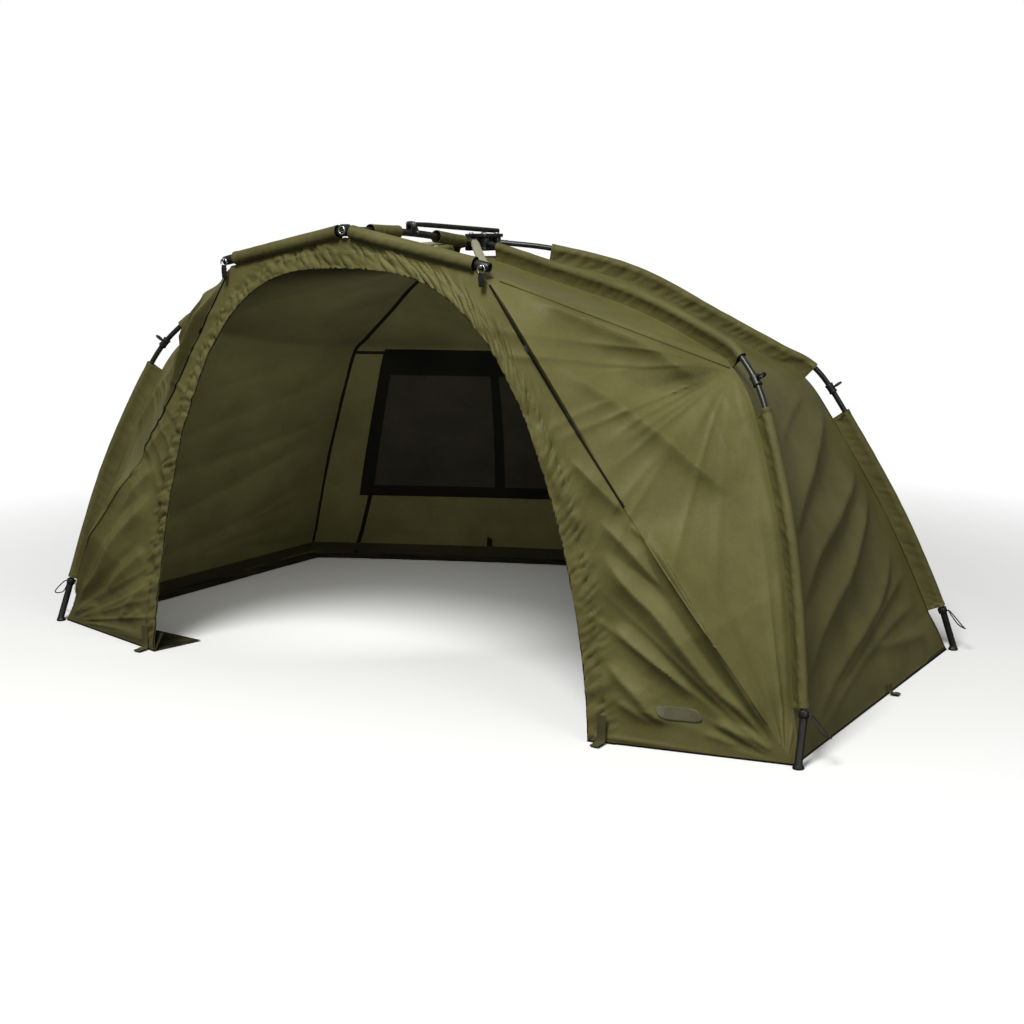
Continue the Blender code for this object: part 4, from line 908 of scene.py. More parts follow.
def sheet_of(name, grid, looks, thick=CLOTH_THICK, kept=None):
    """Cloth through a grid of points, with its thickness to the inside and
    square borders. The first look is the outer face's and the last the inner
    one's. Kept marks the squares that aren't cut out."""
    rows, columns = grid.shape[:2]
    index = np.arange(rows * columns).reshape(rows, columns)
    squares = quads(index).reshape(-1, 4) if kept is None else quads(index)[kept]
    under = grid.size // 3
    starts, ends = squares.ravel(), np.roll(squares, -1, axis=1).ravel()
    border = ~np.isin(starts * under + ends, ends * under + starts)
    a, b = starts[border], ends[border]
    rim = np.stack([b, a, a + under, b + under], axis=-1)
    faces = np.vstack([squares, rim, squares[:, ::-1] + under])
    points = np.concatenate([grid, grid - facing(grid) * thick]).reshape(-1, 3)
    uv = np.tile(np.stack(laid_out(grid), axis=-1).reshape(-1, 2), (2, 1))
    used, place = np.unique(faces, return_inverse=True)
    shape = (points[used], place.reshape(-1, 4).tolist(), uv[used])
    made = mesh_of(name, shape, looks[0], 60.0, outwards=False)
    made.data.materials.append(looks[-1])
    inner = np.arange(len(faces)) >= len(squares) + len(rim)
    made.data.polygons.foreach_set("material_index", inner.astype(np.int32))
    return made


def as_cut(grid):
    """A sheet's widest row, longest column and area, laid flat."""
    across, down = laid_out(grid)
    a = np.cross(np.diff(grid[:-1], axis=1), np.diff(grid[:, :-1], axis=0))
    b = np.cross(np.diff(grid[1:], axis=1), np.diff(grid[:, 1:], axis=0))
    area = 0.5 * (np.linalg.norm(a, axis=2).sum() + np.linalg.norm(b, axis=2).sum())
    return (float(across.max()), float(down.max())), float(area)


def declare(grid, area=None):
    """Works out the size that a sheet of cloth was cut to, and its area where parts of it are cut
    out, and does nothing more with them."""
    flat, whole = as_cut(grid)
    area = min(whole, flat[0] * flat[1]) if area is None else area


def drawn_in(made, *nodes, slot="canopy_cloth"):
    """Rides a piece of cloth on the canopy."""
    fit(made, "hub_and_canopy", slot, *nodes)
    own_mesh(made)


def panel(name, grid, rests_on, *nodes, held="stretched"):
    """A lined panel of the canopy, riding on it."""
    made = sheet_of(name, grid, (olive, lining))
    declare(grid)
    drawn_in(made, *nodes)


WALL_COLUMNS = 66
# Folds of a side wall, seen from the right: places to the back and up.
WALL_FOLDS = (
    ((0.013, 0.036, 0.018), 0.75, 1.8, (-0.720, 0.100), (-0.517, 0.245), (-0.133, 0.357),
     (0.260, 0.500)),
    ((0.009, 0.023, 0.013), 0.75, 1.8, (-0.690, 0.045), (-0.382, 0.143), (0.020, 0.229),
     (0.260, 0.340)),
    ((0.007, 0.016, 0.009), 0.69, 1.6, (-0.592, 0.064), (-0.100, 0.180), (0.330, 0.262)),
    ((0.009, 0.016, 0.009), 0.62, 1.6, (-0.204, 0.132), (0.043, 0.098), (0.320, 0.067)),
    ((0.014, 0.040, 0.018), 0.56, 2.0, (-0.620, 0.470), (-0.390, 0.566), (-0.069, 0.655),
     (0.200, 0.735)),
    ((0.013, 0.040, 0.018), 0.69, 1.8, (-0.680, 0.290), (-0.434, 0.420), (-0.083, 0.489),
     (0.240, 0.560)),
    ((0.007, 0.014, 0.011), 0.62, 1.6, (-0.660, 0.020), (-0.350, 0.095), (0.050, 0.150),
     (0.330, 0.160)),
    ((0.009, 0.022, 0.013), 0.38, 1.6, (-0.440, 0.700), (-0.160, 0.760), (0.100, 0.790)),
)
plain = sagged(spanned(FRONT_SKIN, REAR_SKIN, 2 * WALL_COLUMNS), 0.018)
across, down = laid_out(plain)
folds = fold_rise(plain[..., 1], plain[..., 2], WALL_FOLDS)
crumples = 0.0012 * random_hills(across / 0.07, down / 0.11, 3)
for name, side in SIDES:
    # The left wall is drawn tighter, so that its folds are low.
    rise = folds * (1.0 if side > 0 else 0.4) + crumples
    wall = raised(plain, rise * edge_share(plain, 0.02, 0.02, 0.10, 0.02))
    # A flat middle column lets the shading of the two halves meet.
    wall[:, WALL_COLUMNS] = (wall[:, WALL_COLUMNS - 1] + wall[:, WALL_COLUMNS + 1]) / 2
    for row, first in (("front", 0), ("rear", WALL_COLUMNS)):
        part = handed(wall[:, first : first + WALL_COLUMNS + 1], side)
        made = sheet_of(f"side_wall_{row}_{name}", part, (olive, lining))
        declare(part)
        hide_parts(f"side_wall_{name}")
        leg, end = f"leg_{row}_{name}", tuple(FOOT * (side, 1, 1))
        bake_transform(made)
        # Each column's share of the way from the wall's middle to the leg.
        share = np.linspace(0, 1, WALL_COLUMNS + 1)
        share = share if (row == "rear") == (side > 0) else share[::-1]

# Roof panels
# Between the peak's light ribs and the front legs the roof is drawn smooth. It
# is sewn to the wing below it along a straight lap seam.
BAR_DROP = 0.019 * math.cos(math.pi / 8) / math.sqrt(1 - BAR_WAY[2] ** 2) + 0.0003
CORNER_SKIN = CORNER - (0, 0, BAR_DROP)
APEX_SKIN = APEX - (0, 0, BAR_DROP)
CROWN = np.array([0.032, HINGE[1] - 0.075, ARMS_HIGH - CLOTH_IN - 0.003])
ridge = CROWN + (CORNER_SKIN - CROWN) * np.linspace(0, 1, ARM_ROWS + 1)[:, None]
roof = sagged(spanned(ridge, FRONT_OVER, 90), 0.010)
across, down = laid_out(roof)
rise = 0.0016 * random_hills(across / 0.16 + down / 0.5, down / 0.06, 5)
roof = raised(roof, rise * edge_share(roof, 0.02, 0.02, 0.05, 0.02))
for name, side in SIDES:
    under = [f"leg_tube_front_{name}", f"peak_rib_{name}"]
    panel(f"roof_{name}_panel", handed(roof, side), under, f"roof_{name}")

# Front wings
# A wing fills each corner between the zip seam, the roof seam and the front
# leg. It is the tightest panel, and folds run out from its corners.
ZIP_MIDDLE = np.array([0.805, FRONT_FEET - 0.045, 0.614])
# Folds of the whole front, seen from the front: places out and up.
FRONT_FOLDS = (
    ((0.024, 0.040, 0.034), 1.35, 1.5, (0.504, 1.108), (0.606, 1.057), (0.717, 1.000),
     (0.773, 0.970), (0.843, 0.918), (0.913, 0.865)),
    ((0.014, 0.026, 0.021), 1.45, 1.7, (0.601, 0.940), (0.695, 0.874), (0.796, 0.806),
     (0.868, 0.751), (0.948, 0.681), (1.030, 0.614)),
    ((0.007, 0.012, 0.007), 1.3, 1.8, (0.775, 0.972), (0.829, 0.934), (0.909, 0.878)),
    ((0.005, 0.009, 0.005), 1.2, 1.8, (0.857, 0.937), (0.894, 0.914), (0.929, 0.896)),
    ((0.004, 0.007, 0.004), 1.1, 1.8, (0.899, 0.926), (0.918, 0.915), (0.937, 0.908)),
    ((0.005, 0.011, 0.009), 0.8, 1.8, (0.905, 0.872), (0.955, 0.790), (0.997, 0.714)),
    ((0.005, 0.009, 0.007), 0.8, 1.8, (0.885, 0.862), (0.915, 0.800), (0.940, 0.755)),
    ((0.004, 0.009, 0.007), 0.8, 1.8, (0.938, 0.868), (0.975, 0.825), (1.010, 0.780)),
    ((0.024, 0.040, 0.012), 1.6, 1.7, (0.854, 0.567), (0.904, 0.504), (0.965, 0.416),
     (1.015, 0.342), (1.060, 0.273), (1.105, 0.209), (1.162, 0.130), (1.221, 0.046)),
    ((0.009, 0.019, 0.009), 1.45, 1.8, (0.753, 0.561), (0.822, 0.502), (0.888, 0.439),
     (0.949, 0.381)),
    ((0.009, 0.016, 0.009), 1.25, 1.8, (0.820, 0.562), (0.870, 0.524), (0.916, 0.473),
     (0.973, 0.396)),
    ((0.016, 0.030, 0.010), 1.65, 1.7, (0.760, 0.497), (0.801, 0.433), (0.856, 0.379),
     (0.912, 0.331), (0.994, 0.240), (1.057, 0.170), (1.121, 0.125), (1.202, 0.053)),
    ((0.005, 0.009, 0.005), 1.35, 1.8, (0.858, 0.406), (0.953, 0.317), (1.022, 0.242),
     (1.091, 0.174), (1.173, 0.107)),
    ((0.011, 0.021, 0.009), 1.3, 1.8, (0.794, 0.311), (0.835, 0.273), (0.876, 0.242),
     (0.920, 0.210), (0.967, 0.178), (1.027, 0.128)),
    ((0.009, 0.016, 0.007), 1.6, 1.8, (0.783, 0.211), (0.815, 0.180), (0.848, 0.148),
     (0.884, 0.116), (0.904, 0.090), (0.969, 0.059)),
    ((0.007, 0.011, 0.005), 1.4, 1.8, (0.823, 0.115), (0.856, 0.091), (0.888, 0.075),
     (0.922, 0.059)),
    ((0.009, 0.011, 0.005), 1.4, 1.8, (1.059, 0.086), (1.106, 0.070), (1.155, 0.053),
     (1.221, 0.027)),
    ((0.005, 0.009, 0.005), 1.1, 1.8, (1.040, 0.052), (1.083, 0.044), (1.132, 0.027)),
    ((0.009, 0.016, 0.009), 1.1, 1.8, (0.670, 0.711), (0.764, 0.628), (0.825, 0.574)),
    ((0.009, 0.014, 0.011), 0.7, 1.8, (0.585, 0.760), (0.650, 0.640), (0.720, 0.520)),
)
# Fans of creases: where each starts, its creases' angle apart, how far they
# stand proud, and the seed of its hills.
FANS = (((1.25, 0.0), 0.090, 0.0070, 21), ((0.95, 0.92), 0.150, 0.0050, 22))


def front_way(points):
    """Outwards from the front: straight on in the middle, and turned to the
    side and up on the wings."""
    turn = np.clip(points[..., 0] / 0.45, -1, 1)
    way = np.stack([0.42 * turn, np.full_like(turn, -0.88), 0.24 * np.abs(turn)], axis=-1)
    return unit(way)


def front_rise(points):
    """How far the front stands proud: its folds, finer creases that fan out
    from the foot and the shoulder, and crumples some 40 mm apart. A crease of
    a fan is sharp where random hills over the angle and the distance pass
    through 0. Nothing stands proud between the bars."""
    x, z = np.abs(points[..., 0]), points[..., 2]
    rise = fold_rise(x, z, FRONT_FOLDS)
    for spot, fine, height, seed in FANS:
        away = np.hypot(x - spot[0], z - spot[1])
        turn = np.arctan2(z - spot[1], x - spot[0])
        fan = random_hills(turn / fine + 40 + 30 * (points[..., 0] < 0), away / 0.45, seed)
        fan = np.clip(1 - np.hypot(1.4 * fan, 0.08), 0, 1) ** 2
        rise += height * fan * eased(away / 0.12) * eased((0.75 - away) / 0.4)
    rise += 0.0010 * random_hills(points[..., 0] / 0.035 + 50, z / 0.05, 23)
    side = np.where(points[..., 0] < 0, 0.8, 1.0)
    return rise * side * eased(z / 0.02) * eased((x - 0.36) / 0.08)


def seam_share(points):
    """0 on the straight seam from the peak's corner to the shoulder and along
    the front leg's first part, growing to 1 at 25 mm below it."""
    way = unit(SHOULDER - CORNER_SKIN)
    off = points * np.where(points[..., :1] < 0, (-1, 1, 1), (1, 1, 1)) - CORNER_SKIN
    return np.linalg.norm(off - (off @ way)[..., None] * way, axis=-1) / 0.025


zip_line = smooth([CORNER_SKIN, ZIP_MIDDLE, FOOT], 1400)
# Of the wing's 13 stations 4 run along the roof seam and 9 down the leg. Its
# columns crowd towards the zip.
SEAM_STATIONS = 4
LEG_STATIONS = 9
CROWDING = 1.35
place = np.linspace(0.2, SEAM_STATIONS + LEG_STATIONS, 280)
zip_edge = along_stations(zip_line, place, SEAM_STATIONS + LEG_STATIONS + 1)
seam_way = (SHOULDER - CORNER_SKIN) * np.minimum(place / SEAM_STATIONS, 1)[:, None]
leg_part = along_stations(FRONT_UNDER, np.maximum(place - SEAM_STATIONS, 0), LEG_STATIONS)
outer = np.where(place[:, None] < SEAM_STATIONS, CORNER_SKIN + seam_way, leg_part)
wing = spanned(zip_edge, outer, 110, CROWDING)
# Beside the zip's upper half the wing stands proud of the door surround, with
# a narrow turned face between the two.
across, down = laid_out(wing)
long = down[:, :1] / down[-1, 0]
step_high = 0.043 * eased(long / 0.16) * eased((0.46 - long) / 0.32)
proud = step_high * eased(across / 0.010) * (1 - eased((across - 0.010) / 0.17))
WINGS = {}
for name, side in SIDES:
    part = wing * (side, 1, 1)
    firm = edge_share(wing, 0, 0.02, 0.006, 0) * eased(seam_share(wing))
    rise = front_rise(part) * firm + proud * eased(2 * seam_share(wing))
    part = part + front_way(part) * rise[..., None]
    WINGS[name] = part if side > 0 else part[:, ::-1]
    under = [f"leg_tube_front_{name}"]
    panel(f"front_wing_{name}_panel", WINGS[name], under, f"front_wing_{name}")

# Door surround
# The cloth round the arched doorway, from the zip seams and the bars in to the
# opening, whose edge is turned over into a wide gathered hem.
DOOR_HALF = 0.755
angle = np.linspace(0, math.pi, 1600)
cosine, sine = np.cos(angle), np.sin(angle)
arch = np.stack(
    [
        -DOOR_HALF * np.sign(cosine) * np.abs(cosine) ** (2 / 3),
        np.full(len(angle), FRONT_FEET - 0.090),
        HEM_HIGH + (ARMS_HIGH - 0.058) * sine ** (2 / 1.4),
    ],
    axis=1,
)
arch[:, 1] -= np.clip(1 - arch[:, 2] / 0.30, 0, 1) * 0.013
arch = even(arch, 768)
half_zip = even(zip_line, 264)


def under_bars(steps):
    """The line under the two bars, from corner to corner."""
    left = even(np.array([CORNER_SKIN * (-1, 1, 1), APEX_SKIN]), steps)
    return np.vstack([left, even(np.array([APEX_SKIN, CORNER_SKIN]), steps)[1:]])


rim = np.vstack([(half_zip * (-1, 1, 1))[::-1], under_bars(120)[1:], half_zip[1:]])
surround = spanned(rim, arch, 60).transpose(1, 0, 2)
surround[:, [0, -1], 2] = HEM_HIGH
ARCH_AT = lengths(arch)
from_edge = laid_out(surround)[1]
from_edge = from_edge[-1:] - from_edge


def gathers(apart):
    """The puckers that the hem's stitching draws in along the doorway: random
    hills 11 mm and 33 mm apart that slant, and fade from 40 mm to 100 mm in
    from the edge."""
    hills = random_hills(ARCH_AT / 0.0110 + apart / 0.014, apart / 0.022, 31)
    slow = random_hills(ARCH_AT / 0.033 + apart / 0.05, apart / 0.06, 32)
    return (0.0044 * hills + 0.0042 * slow) * eased(apart / 0.012) * eased((0.100 - apart) / 0.060)


rise = front_rise(surround) + gathers(from_edge)
surround = surround + front_way(surround) * rise[..., None]
panel("door_surround_panel", surround, ["peak_bar_left", "peak_bar_right"], "door_surround")

# Peak roof
# The small roof between the peak's bars, which folds down with them. Its front
# edge is sewn to the bars' sleeves.
back_edge = even(np.array([CROWN * (-1, 1, 1), CROWN]), 96)
peak_roof = spanned(back_edge, under_bars(48), 60).transpose(1, 0, 2)
made = sheet_of("peak_roof_panel", peak_roof, (olive, lining))
declare(peak_roof)
fit(made, "peak", "canopy_cloth", "peak_roof")

# Leg sleeves
# Each leg runs in two sleeves of the canopy's cloth, above and below its bare
# stretch. They are round over the tube and drawn in to the cloth beneath it.
SLEEVE_RADIUS = 0.0128
SLEEVE_DEEP = 0.0406
SEAM_HALF = 0.0016
THIN_CLOTH = 0.0009
# The same polyester as the canopy, a little duller, its colour darkened as painted shade for the
# sleeves, which take the light less.
sleeve_cloth = woven("olive_polyester_sleeve_painted_shade", "#625E38", "#514E2D", DRAWN_THREAD, 0.50, 0.0, 0.2)
BARE_AT_HUB = {"front": 0.055, "rear": 0.165}


def fin(radius, low, half):
    """A sleeve's outline from the seam on its right over the tube to the seam
    on its left: an arc, then a curve that runs in to the seam."""
    turn = np.linspace(0, 2.0, 13)
    arc = radius * np.stack([np.sin(turn), np.cos(turn)], axis=1)
    t = np.linspace(0, 1, 11)[1:]
    wide, high = arc[-1]
    neck = np.stack([half + (wide - half) * (1 - t) ** 2, high + (low - high) * t], axis=1)
    right = np.vstack([arc, neck])
    return np.vstack([right[::-1], right[1:] * (-1, 1)])


def wrapped(line, ups, outline, pleats, seed):
    """A sleeve's grid: an outline carried along a line, with a turned hem at
    both ends and pleats, which are hills that slant across the sleeve."""
    along = lengths(line)[:, None]
    sides = np.cross(ways(line), ups)
    out = np.gradient(outline, axis=0)
    out = unit(np.stack([out[:, 1], -out[:, 0]], axis=1))
    depth = (outline[:, 1].max() - outline[:, 1])[None, :]
    ends = np.minimum(along, along[-1] - along)
    ripple = random_hills(along / 0.03 + depth / 0.01, depth / 0.012, seed)
    slant = np.sign(outline[None, :, 0])
    across = depth / 0.035 + 5 * slant + 20
    folds = random_hills(along / 0.011 + slant * depth / 0.016 + 30, across, seed + 1)
    firm = eased(depth / 0.012) * eased((depth.max() + 0.004 - depth) / 0.016)
    rise = 0.0007 * (ends < 0.011) + 0.0004 * ripple + pleats * folds * firm * eased(ends / 0.02)
    flat = outline[None] + out[None] * rise[..., None]
    return line[:, None] + sides[:, None] * flat[..., :1] + ups[:, None] * flat[..., 1:]


def sleeve_on(name, grid, body, node):
    """A sleeve over a pole, riding on the pole's body."""
    made = sheet_of(name, grid, (sleeve_cloth,), THIN_CLOTH)
    declare(grid)
    fit(made, body, "sleeve_cloth", node)


for row, name, side in LEG_NAMES:
    line, end_at = leg_of(row, side)
    away = outwards(line)
    for part, start, end in (
        ("upper", BARE_AT_HUB[row], ARM_LONG[row] - 0.0003),
        ("lower", ARM_LONG[row] + BARE_TUBE, end_at - 0.006),
    ):
        at = np.linspace(start + 0.018, end - 0.018, int((end - start) / 0.0075))
        hem = np.array([0, 0.0108, 0.0112])
        at = np.concatenate([start + hem, at, end - hem[::-1]])
        run = at_length(line, at)
        ups = square_to(run, read_off(at, lengths(line), away))
        pleats = 0.0032 if (row, part) == ("rear", "upper") else 0.0016
        seed = 50 + 4 * (row == "rear") + 2 * (part == "upper") + (side > 0)
        grid = wrapped(run, ups, fin(SLEEVE_RADIUS, -SLEEVE_DEEP, SEAM_HALF), pleats, seed)
        leg = f"{row}_{name}"
        made = f"leg_sleeve_{part}_{leg}"
        sleeve_on(made, grid, f"leg_{leg}", f"sleeve_{part}_{leg}")

# Sleeves of the peak
# The spine runs in two short sleeves and each bar in a long one, loose tubes of
# the same cloth, to which the peak roof is sewn.
tube_outline = np.vstack([ring(30), ring(30)[:1]])[::-1] * (-1, -1)
for node, start, end in (("spine_sleeve_front", 0.140, 0.015), ("spine_sleeve_rear", 0.451, 0.319)):
    run = np.array([spine_at(b) for b in np.linspace(start, end, int((start - end) / 0.005))])
    grid = wrapped(run, square_to(run, (0, 0, 1)), tube_outline * 0.0172, 0.0012, 70)
    sleeve_on(f"{node}_cloth", grid, "peak", node)
for name, side in SIDES:
    first = (BAR_FROM + BAR_WAY * 0.005) * (side, 1, 1)
    last = (BAR_TO - BAR_WAY * 0.004) * (side, 1, 1)
    run = first + (last - first) * np.linspace(0, 1, 84)[:, None]
    grid = wrapped(run, square_to(run, (0, 0, 1)), tube_outline * 0.0180, 0.0014, 74 + side)
    sleeve_on(f"bar_sleeve_{name}_cloth", grid, "peak", f"bar_sleeve_{name}")

# Peak ribs
# Two ribs in flat covers of pale webbing, which run from the yoke out to the
# corner fittings under the roof and hold the peak open.
# Pale webbing: grey-green polyester, dull, its 2 mm ribs drawn 2.5 mm apart.
DRAWN_RIB = 0.002513
pale_webbing = woven("pale_grey_green_webbing", "#97957C", "#84826A", DRAWN_RIB, 0.72, 0.05)
for name, side in SIDES:
    start = YOKE * (side, 1, 1) + (side * 0.0343, 0, 0)
    way = BLOCK_MIDDLE * (side, 1, 1) - start
    far = np.linalg.norm(way)
    way /= far
    run = start + way * np.linspace(0.001, far - 0.0145, 60)[:, None]
    run[:, 2] -= 0.004 * np.sin(np.pi * np.linspace(0, 1, 60))
    wide = np.interp(np.linspace(0, 1, 60), (0, 0.03, 0.10, 0.93, 1), (0.75, 0.85, 1, 1, 0.72))
    taper = np.stack([wide, np.full(60, 0.98)], axis=1)[:, None]
    cover = rounded_rectangle(0.0240, 0.0130, 0.0055, 6)[None] * taper
    cover = carried(run, square_to(run, (0, 0, 1)), cover)
    made = mesh_of(f"peak_rib_{name}_cover", cover, pale_webbing, 50.0)
    fit(made, "peak", "rib_tube", f"peak_rib_{name}")

# Back wall
# The back of the skin: from the crown behind the hub down to the ground, bowed
# out at its foot, between the two rear legs. A wide window is cut into it.
WINDOW_LOW = 0.258
WINDOW_TOP = 0.809
WINDOW_SHARE = 0.875
WINDOW_WIDE = 1.9
TONGUE_ROWS = 14
BACK_BOW = FRONT_FEET + 1.227 + 0.510 - REAR_FOOT[1]


def back_at(share, height, inside=0.0):
    """A place on the back wall: a share of the way from the middle to a rear
    leg, at a height, and so far inside. The wall bows out behind the straight
    line between the legs by (1 - (height / top)^2)^0.8 of its bow on the
    ground, times 1 - share^1.25."""
    share, height = np.broadcast_arrays(share, height)

    def spot(share, height):
        out = np.interp(-height, -REAR_SKIN[:, 2], REAR_SKIN[:, 0])
        back = np.interp(-height, -REAR_SKIN[:, 2], REAR_SKIN[:, 1])
        bow = BACK_BOW * np.maximum(0, 1 - (height / ARMS_HIGH) ** 2) ** 0.8
        return np.stack([share * out, back + bow * (1 - np.abs(share) ** 1.25), height], axis=-1)

    here = spot(share, height)
    lean = spot(share, height + 0.004) - spot(share, height - 0.004)
    turn = spot(share + 0.004, height) - spot(share - 0.004, height)
    out = np.cross(lean, turn)
    out = unit(out * np.sign(out[..., 1:2]))
    return here - out * np.asarray(inside)[..., None]


heights = np.unique(np.concatenate([REAR_SKIN[:, 2], [WINDOW_LOW, WINDOW_TOP]]))[::-1]
shares = np.unique(np.concatenate([np.linspace(-1, 1, 113), [-WINDOW_SHARE, WINDOW_SHARE]]))[::-1]
high = heights[:, None]
wall_folds = 0.0022 * random_hills(shares * 7 + high * 3 + 20, high / 0.14 + shares * 2 + 20, 41)
firm = eased((1 - np.abs(shares)) / 0.06) * eased(high / 0.03) * eased((1.10 - high) / 0.1)
back = back_at(shares, high, -wall_folds * firm)
beside_leg = read_off(-heights, -REAR_SKIN[:, 2], REAR_SKIN)
back[:, 0], back[:, -1] = beside_leg, beside_leg * (-1, 1, 1)
# From its top row a tongue of cloth runs forward to the crown.
behind = CROWN + (0, 0.0034, 0)
tongue = spanned(behind[None], behind[None] * (-1, 1, 1), len(shares) - 1)
part = ((shares[0] - shares) / (shares[0] - shares[-1]))[None, :, None]
top = back[:1, :1] + (back[:1, -1:] - back[:1, :1]) * part
tongue = tongue + (top - tongue) * np.linspace(0, 1, TONGUE_ROWS, endpoint=False)[:, None, None]
back = np.vstack([tongue, top, back[1:]])
middle = (heights[1:] + heights[:-1]) / 2
across_window = (np.abs((shares[1:] + shares[:-1]) / 2) < WINDOW_SHARE)[None]
in_window = ((middle < WINDOW_TOP) & (middle > WINDOW_LOW))[:, None] & across_window
kept = np.vstack([np.ones((TONGUE_ROWS, len(shares) - 1), bool), ~in_window])
made = sheet_of("back_wall_panel", back, (olive, lining), kept=kept)
area = as_cut(back)[1] - WINDOW_WIDE * (WINDOW_TOP - WINDOW_LOW)
declare(back, area)
drawn_in(made, "back_wall")

# Window
# Insect mesh over the opening, behind a frame of wide black tape with two
# uprights. A tape runs on to the rear legs, another from the frame to the
# ground, and a peg tab is sewn on above the skirt.
# Insect mesh: black-brown polyester net. Its 1.2 mm holes are drawn 2.5 mm apart.
mesh_net = woven("black_insect_mesh", "#38342A", "#2A261C", DRAWN_RIB, 0.80, 0.0)
# Black tape: closely woven polyester, dull, greyer where it is rubbed.
black_tape = woven("black_polyester_tape", "#16170F", "#0C0D09", DRAWN_THREAD, 0.62, 0.0)
BAND = 0.046 / np.interp(-WINDOW_LOW, -REAR_SKIN[:, 2], REAR_SKIN[:, 0])
BAR_SHARE = 0.47


def window_grid(shares, heights, inside):
    """Places on the back wall in columns at these shares and rows at these
    heights, so far inside it."""
    return back_at(shares[None], heights[:, None], inside)


def strip(line, guess, *size):
    """A strip along a line, flat to the guessed direction, by its width, its
    thickness, the radius of its corners and the points of each corner."""
    return carried(line, square_to(line, guess), rounded_rectangle(*size))


shares = np.linspace(WINDOW_SHARE, -WINDOW_SHARE, 121)
heights = np.linspace(WINDOW_TOP, WINDOW_LOW, 45)
wander = random_hills(shares[None] * 6 + 20, heights[:, None] / 0.05, 43)
pleats = 0.0024 * np.sin(heights[:, None] / 0.0205 * np.pi) * (0.6 + 0.4 * wander)
net = window_grid(shares, heights, 0.0013 + np.abs(pleats))
made = sheet_of("window_net", net, (mesh_net,), 0.0005)
declare(net)
drawn_in(made, "window_mesh", slot="window_mesh_cloth")
edge = WINDOW_SHARE + BAND / 3
columns = [edge, WINDOW_SHARE - BAND * 0.66, BAR_SHARE + BAND * 0.38, BAR_SHARE - BAND * 0.38]
columns = np.array(columns + [-c for c in columns[::-1]])
rows = np.array([WINDOW_TOP + 0.020, WINDOW_TOP - 0.078, WINDOW_LOW + 0.036, WINDOW_LOW - 0.006])
fine_columns = np.unique(np.concatenate([columns, np.linspace(-edge, edge, 150)]))[::-1]
fine_rows = np.unique(np.concatenate([rows, np.linspace(rows[-1], rows[0], 60)]))[::-1]
a, b = (fine_columns[1:] + fine_columns[:-1]) / 2, (fine_rows[1:] + fine_rows[:-1]) / 2
on_bar = np.searchsorted(columns[::-1], a) % 2 == 1
on_band = (b > rows[1]) | (b < rows[2])
ripple = 0.0007 * random_hills(fine_columns[None] * 40 + 60, fine_rows[:, None] / 0.02, 44)
frame_sheet = window_grid(fine_columns, fine_rows, 0.0032 + np.abs(ripple))
kept = on_bar[None] | on_band[:, None]
made = sheet_of("window_frame_tape", frame_sheet, (black_tape,), THIN_CLOTH, kept)
flat = as_cut(frame_sheet)[0]
declare(frame_sheet, 0.36 * flat[0] * flat[1])
drawn_in(made, "window_frame", slot="black_cloth")
strips = []
for side in (-1, 1):
    for first, last, wide in (
        ((edge, WINDOW_TOP + 0.006), (0.995, WINDOW_TOP + 0.006), 0.014),
        ((edge - BAND * 0.8, WINDOW_LOW - 0.004), (edge - BAND * 0.35, 0.012), 0.015),
    ):
        t = np.linspace(0, 1, 24)
        at = [side * (first[0] + (last[0] - first[0]) * t), first[1] + (last[1] - first[1]) * t]
        line = back_at(*at, 0.0036)
        out = back_at(*at, 0.0046) - line
        strips.append(strip(line, out, wide, 0.0012, 0.0005, 2))
line = back_at(-0.50, np.array([0.088, 0.080, 0.066, 0.050]), 0.0040)
strips.append(strip(line, (0, -1, 0.3), 0.030, 0.0028, 0.0008, 3))
made = mesh_of("back_wall_tapes", joined(*strips), black_tape, 50.0)
drawn_in(made, slot="black_cloth")

# Seam tapes inside
# The seams between the side walls and the back wall are bound inside with black
# tape, from the crown to the ground.
for name, side in SIDES:
    line = REAR_SKIN[6:-3] * (side, 1, 1)
    inward = -square_to(line, outwards(line))
    line = line + inward * 0.0030
    bound = strip(line, inward, 0.020, 0.0016, 0.0007, 2)
    made = mesh_of(f"rear_seam_tape_{name}", bound, black_tape, 50.0)
    fit(made, f"leg_rear_{name}", "black_cloth")

# Skirt
# A black strip of coated cloth along the inside of the walls' feet. It stands
# 50 mm up the walls and lies 75 mm in on the ground, and wider at the doorway.
# Groundsheet cloth: coated black polyester, dusted to a dark olive grey.
ground_cloth = woven("black_coated_skirt_cloth", "#3C3B29", "#2B2B1D", DRAWN_THREAD, 0.55, 0, 0.35)
DOOR_FOOT = np.array([0.755, FRONT_FEET - 0.103, HEM_HIGH])
front_part = DOOR_FOOT + (FOOT - DOOR_FOOT) * np.arange(3)[:, None] / 3
around = np.vstack([front_part, FOOT + (REAR_FOOT - FOOT) * np.arange(5)[:, None] / 5])
middle = back_at(np.linspace(1, -1, 33), np.full(33, HEM_HIGH))
around = np.vstack([around, middle, (around * (-1, 1, 1))[::-1]])
wide = np.full(len(around), 0.075)
wide[:4] = np.linspace(0.165, 0.075, 4)
wide[-4:] = wide[3::-1]
run = np.diff(around, axis=0)
square = unit(np.stack([-run[:, 1], run[:, 0], 0 * run[:, 0]], axis=1))
before, after = np.vstack([square[:1], square]), np.vstack([square, square[-1:]])
inwards = (before + after) / (1 + np.sum(before * after, axis=1, keepdims=True))
borders = (
    around + inwards * (0.0024 + 0.052 * 0.55) + (0, 0, 0.052),
    around + inwards * 0.0024 + (0, 0, 0.002),
    around + inwards * wide[:, None] + (0, 0, 0.002),
)
parts = [max(2, int(np.linalg.norm(step) / 0.014)) for step in run]
at = np.concatenate([i + np.arange(n) / n for i, n in enumerate(parts)] + [[len(run)]])
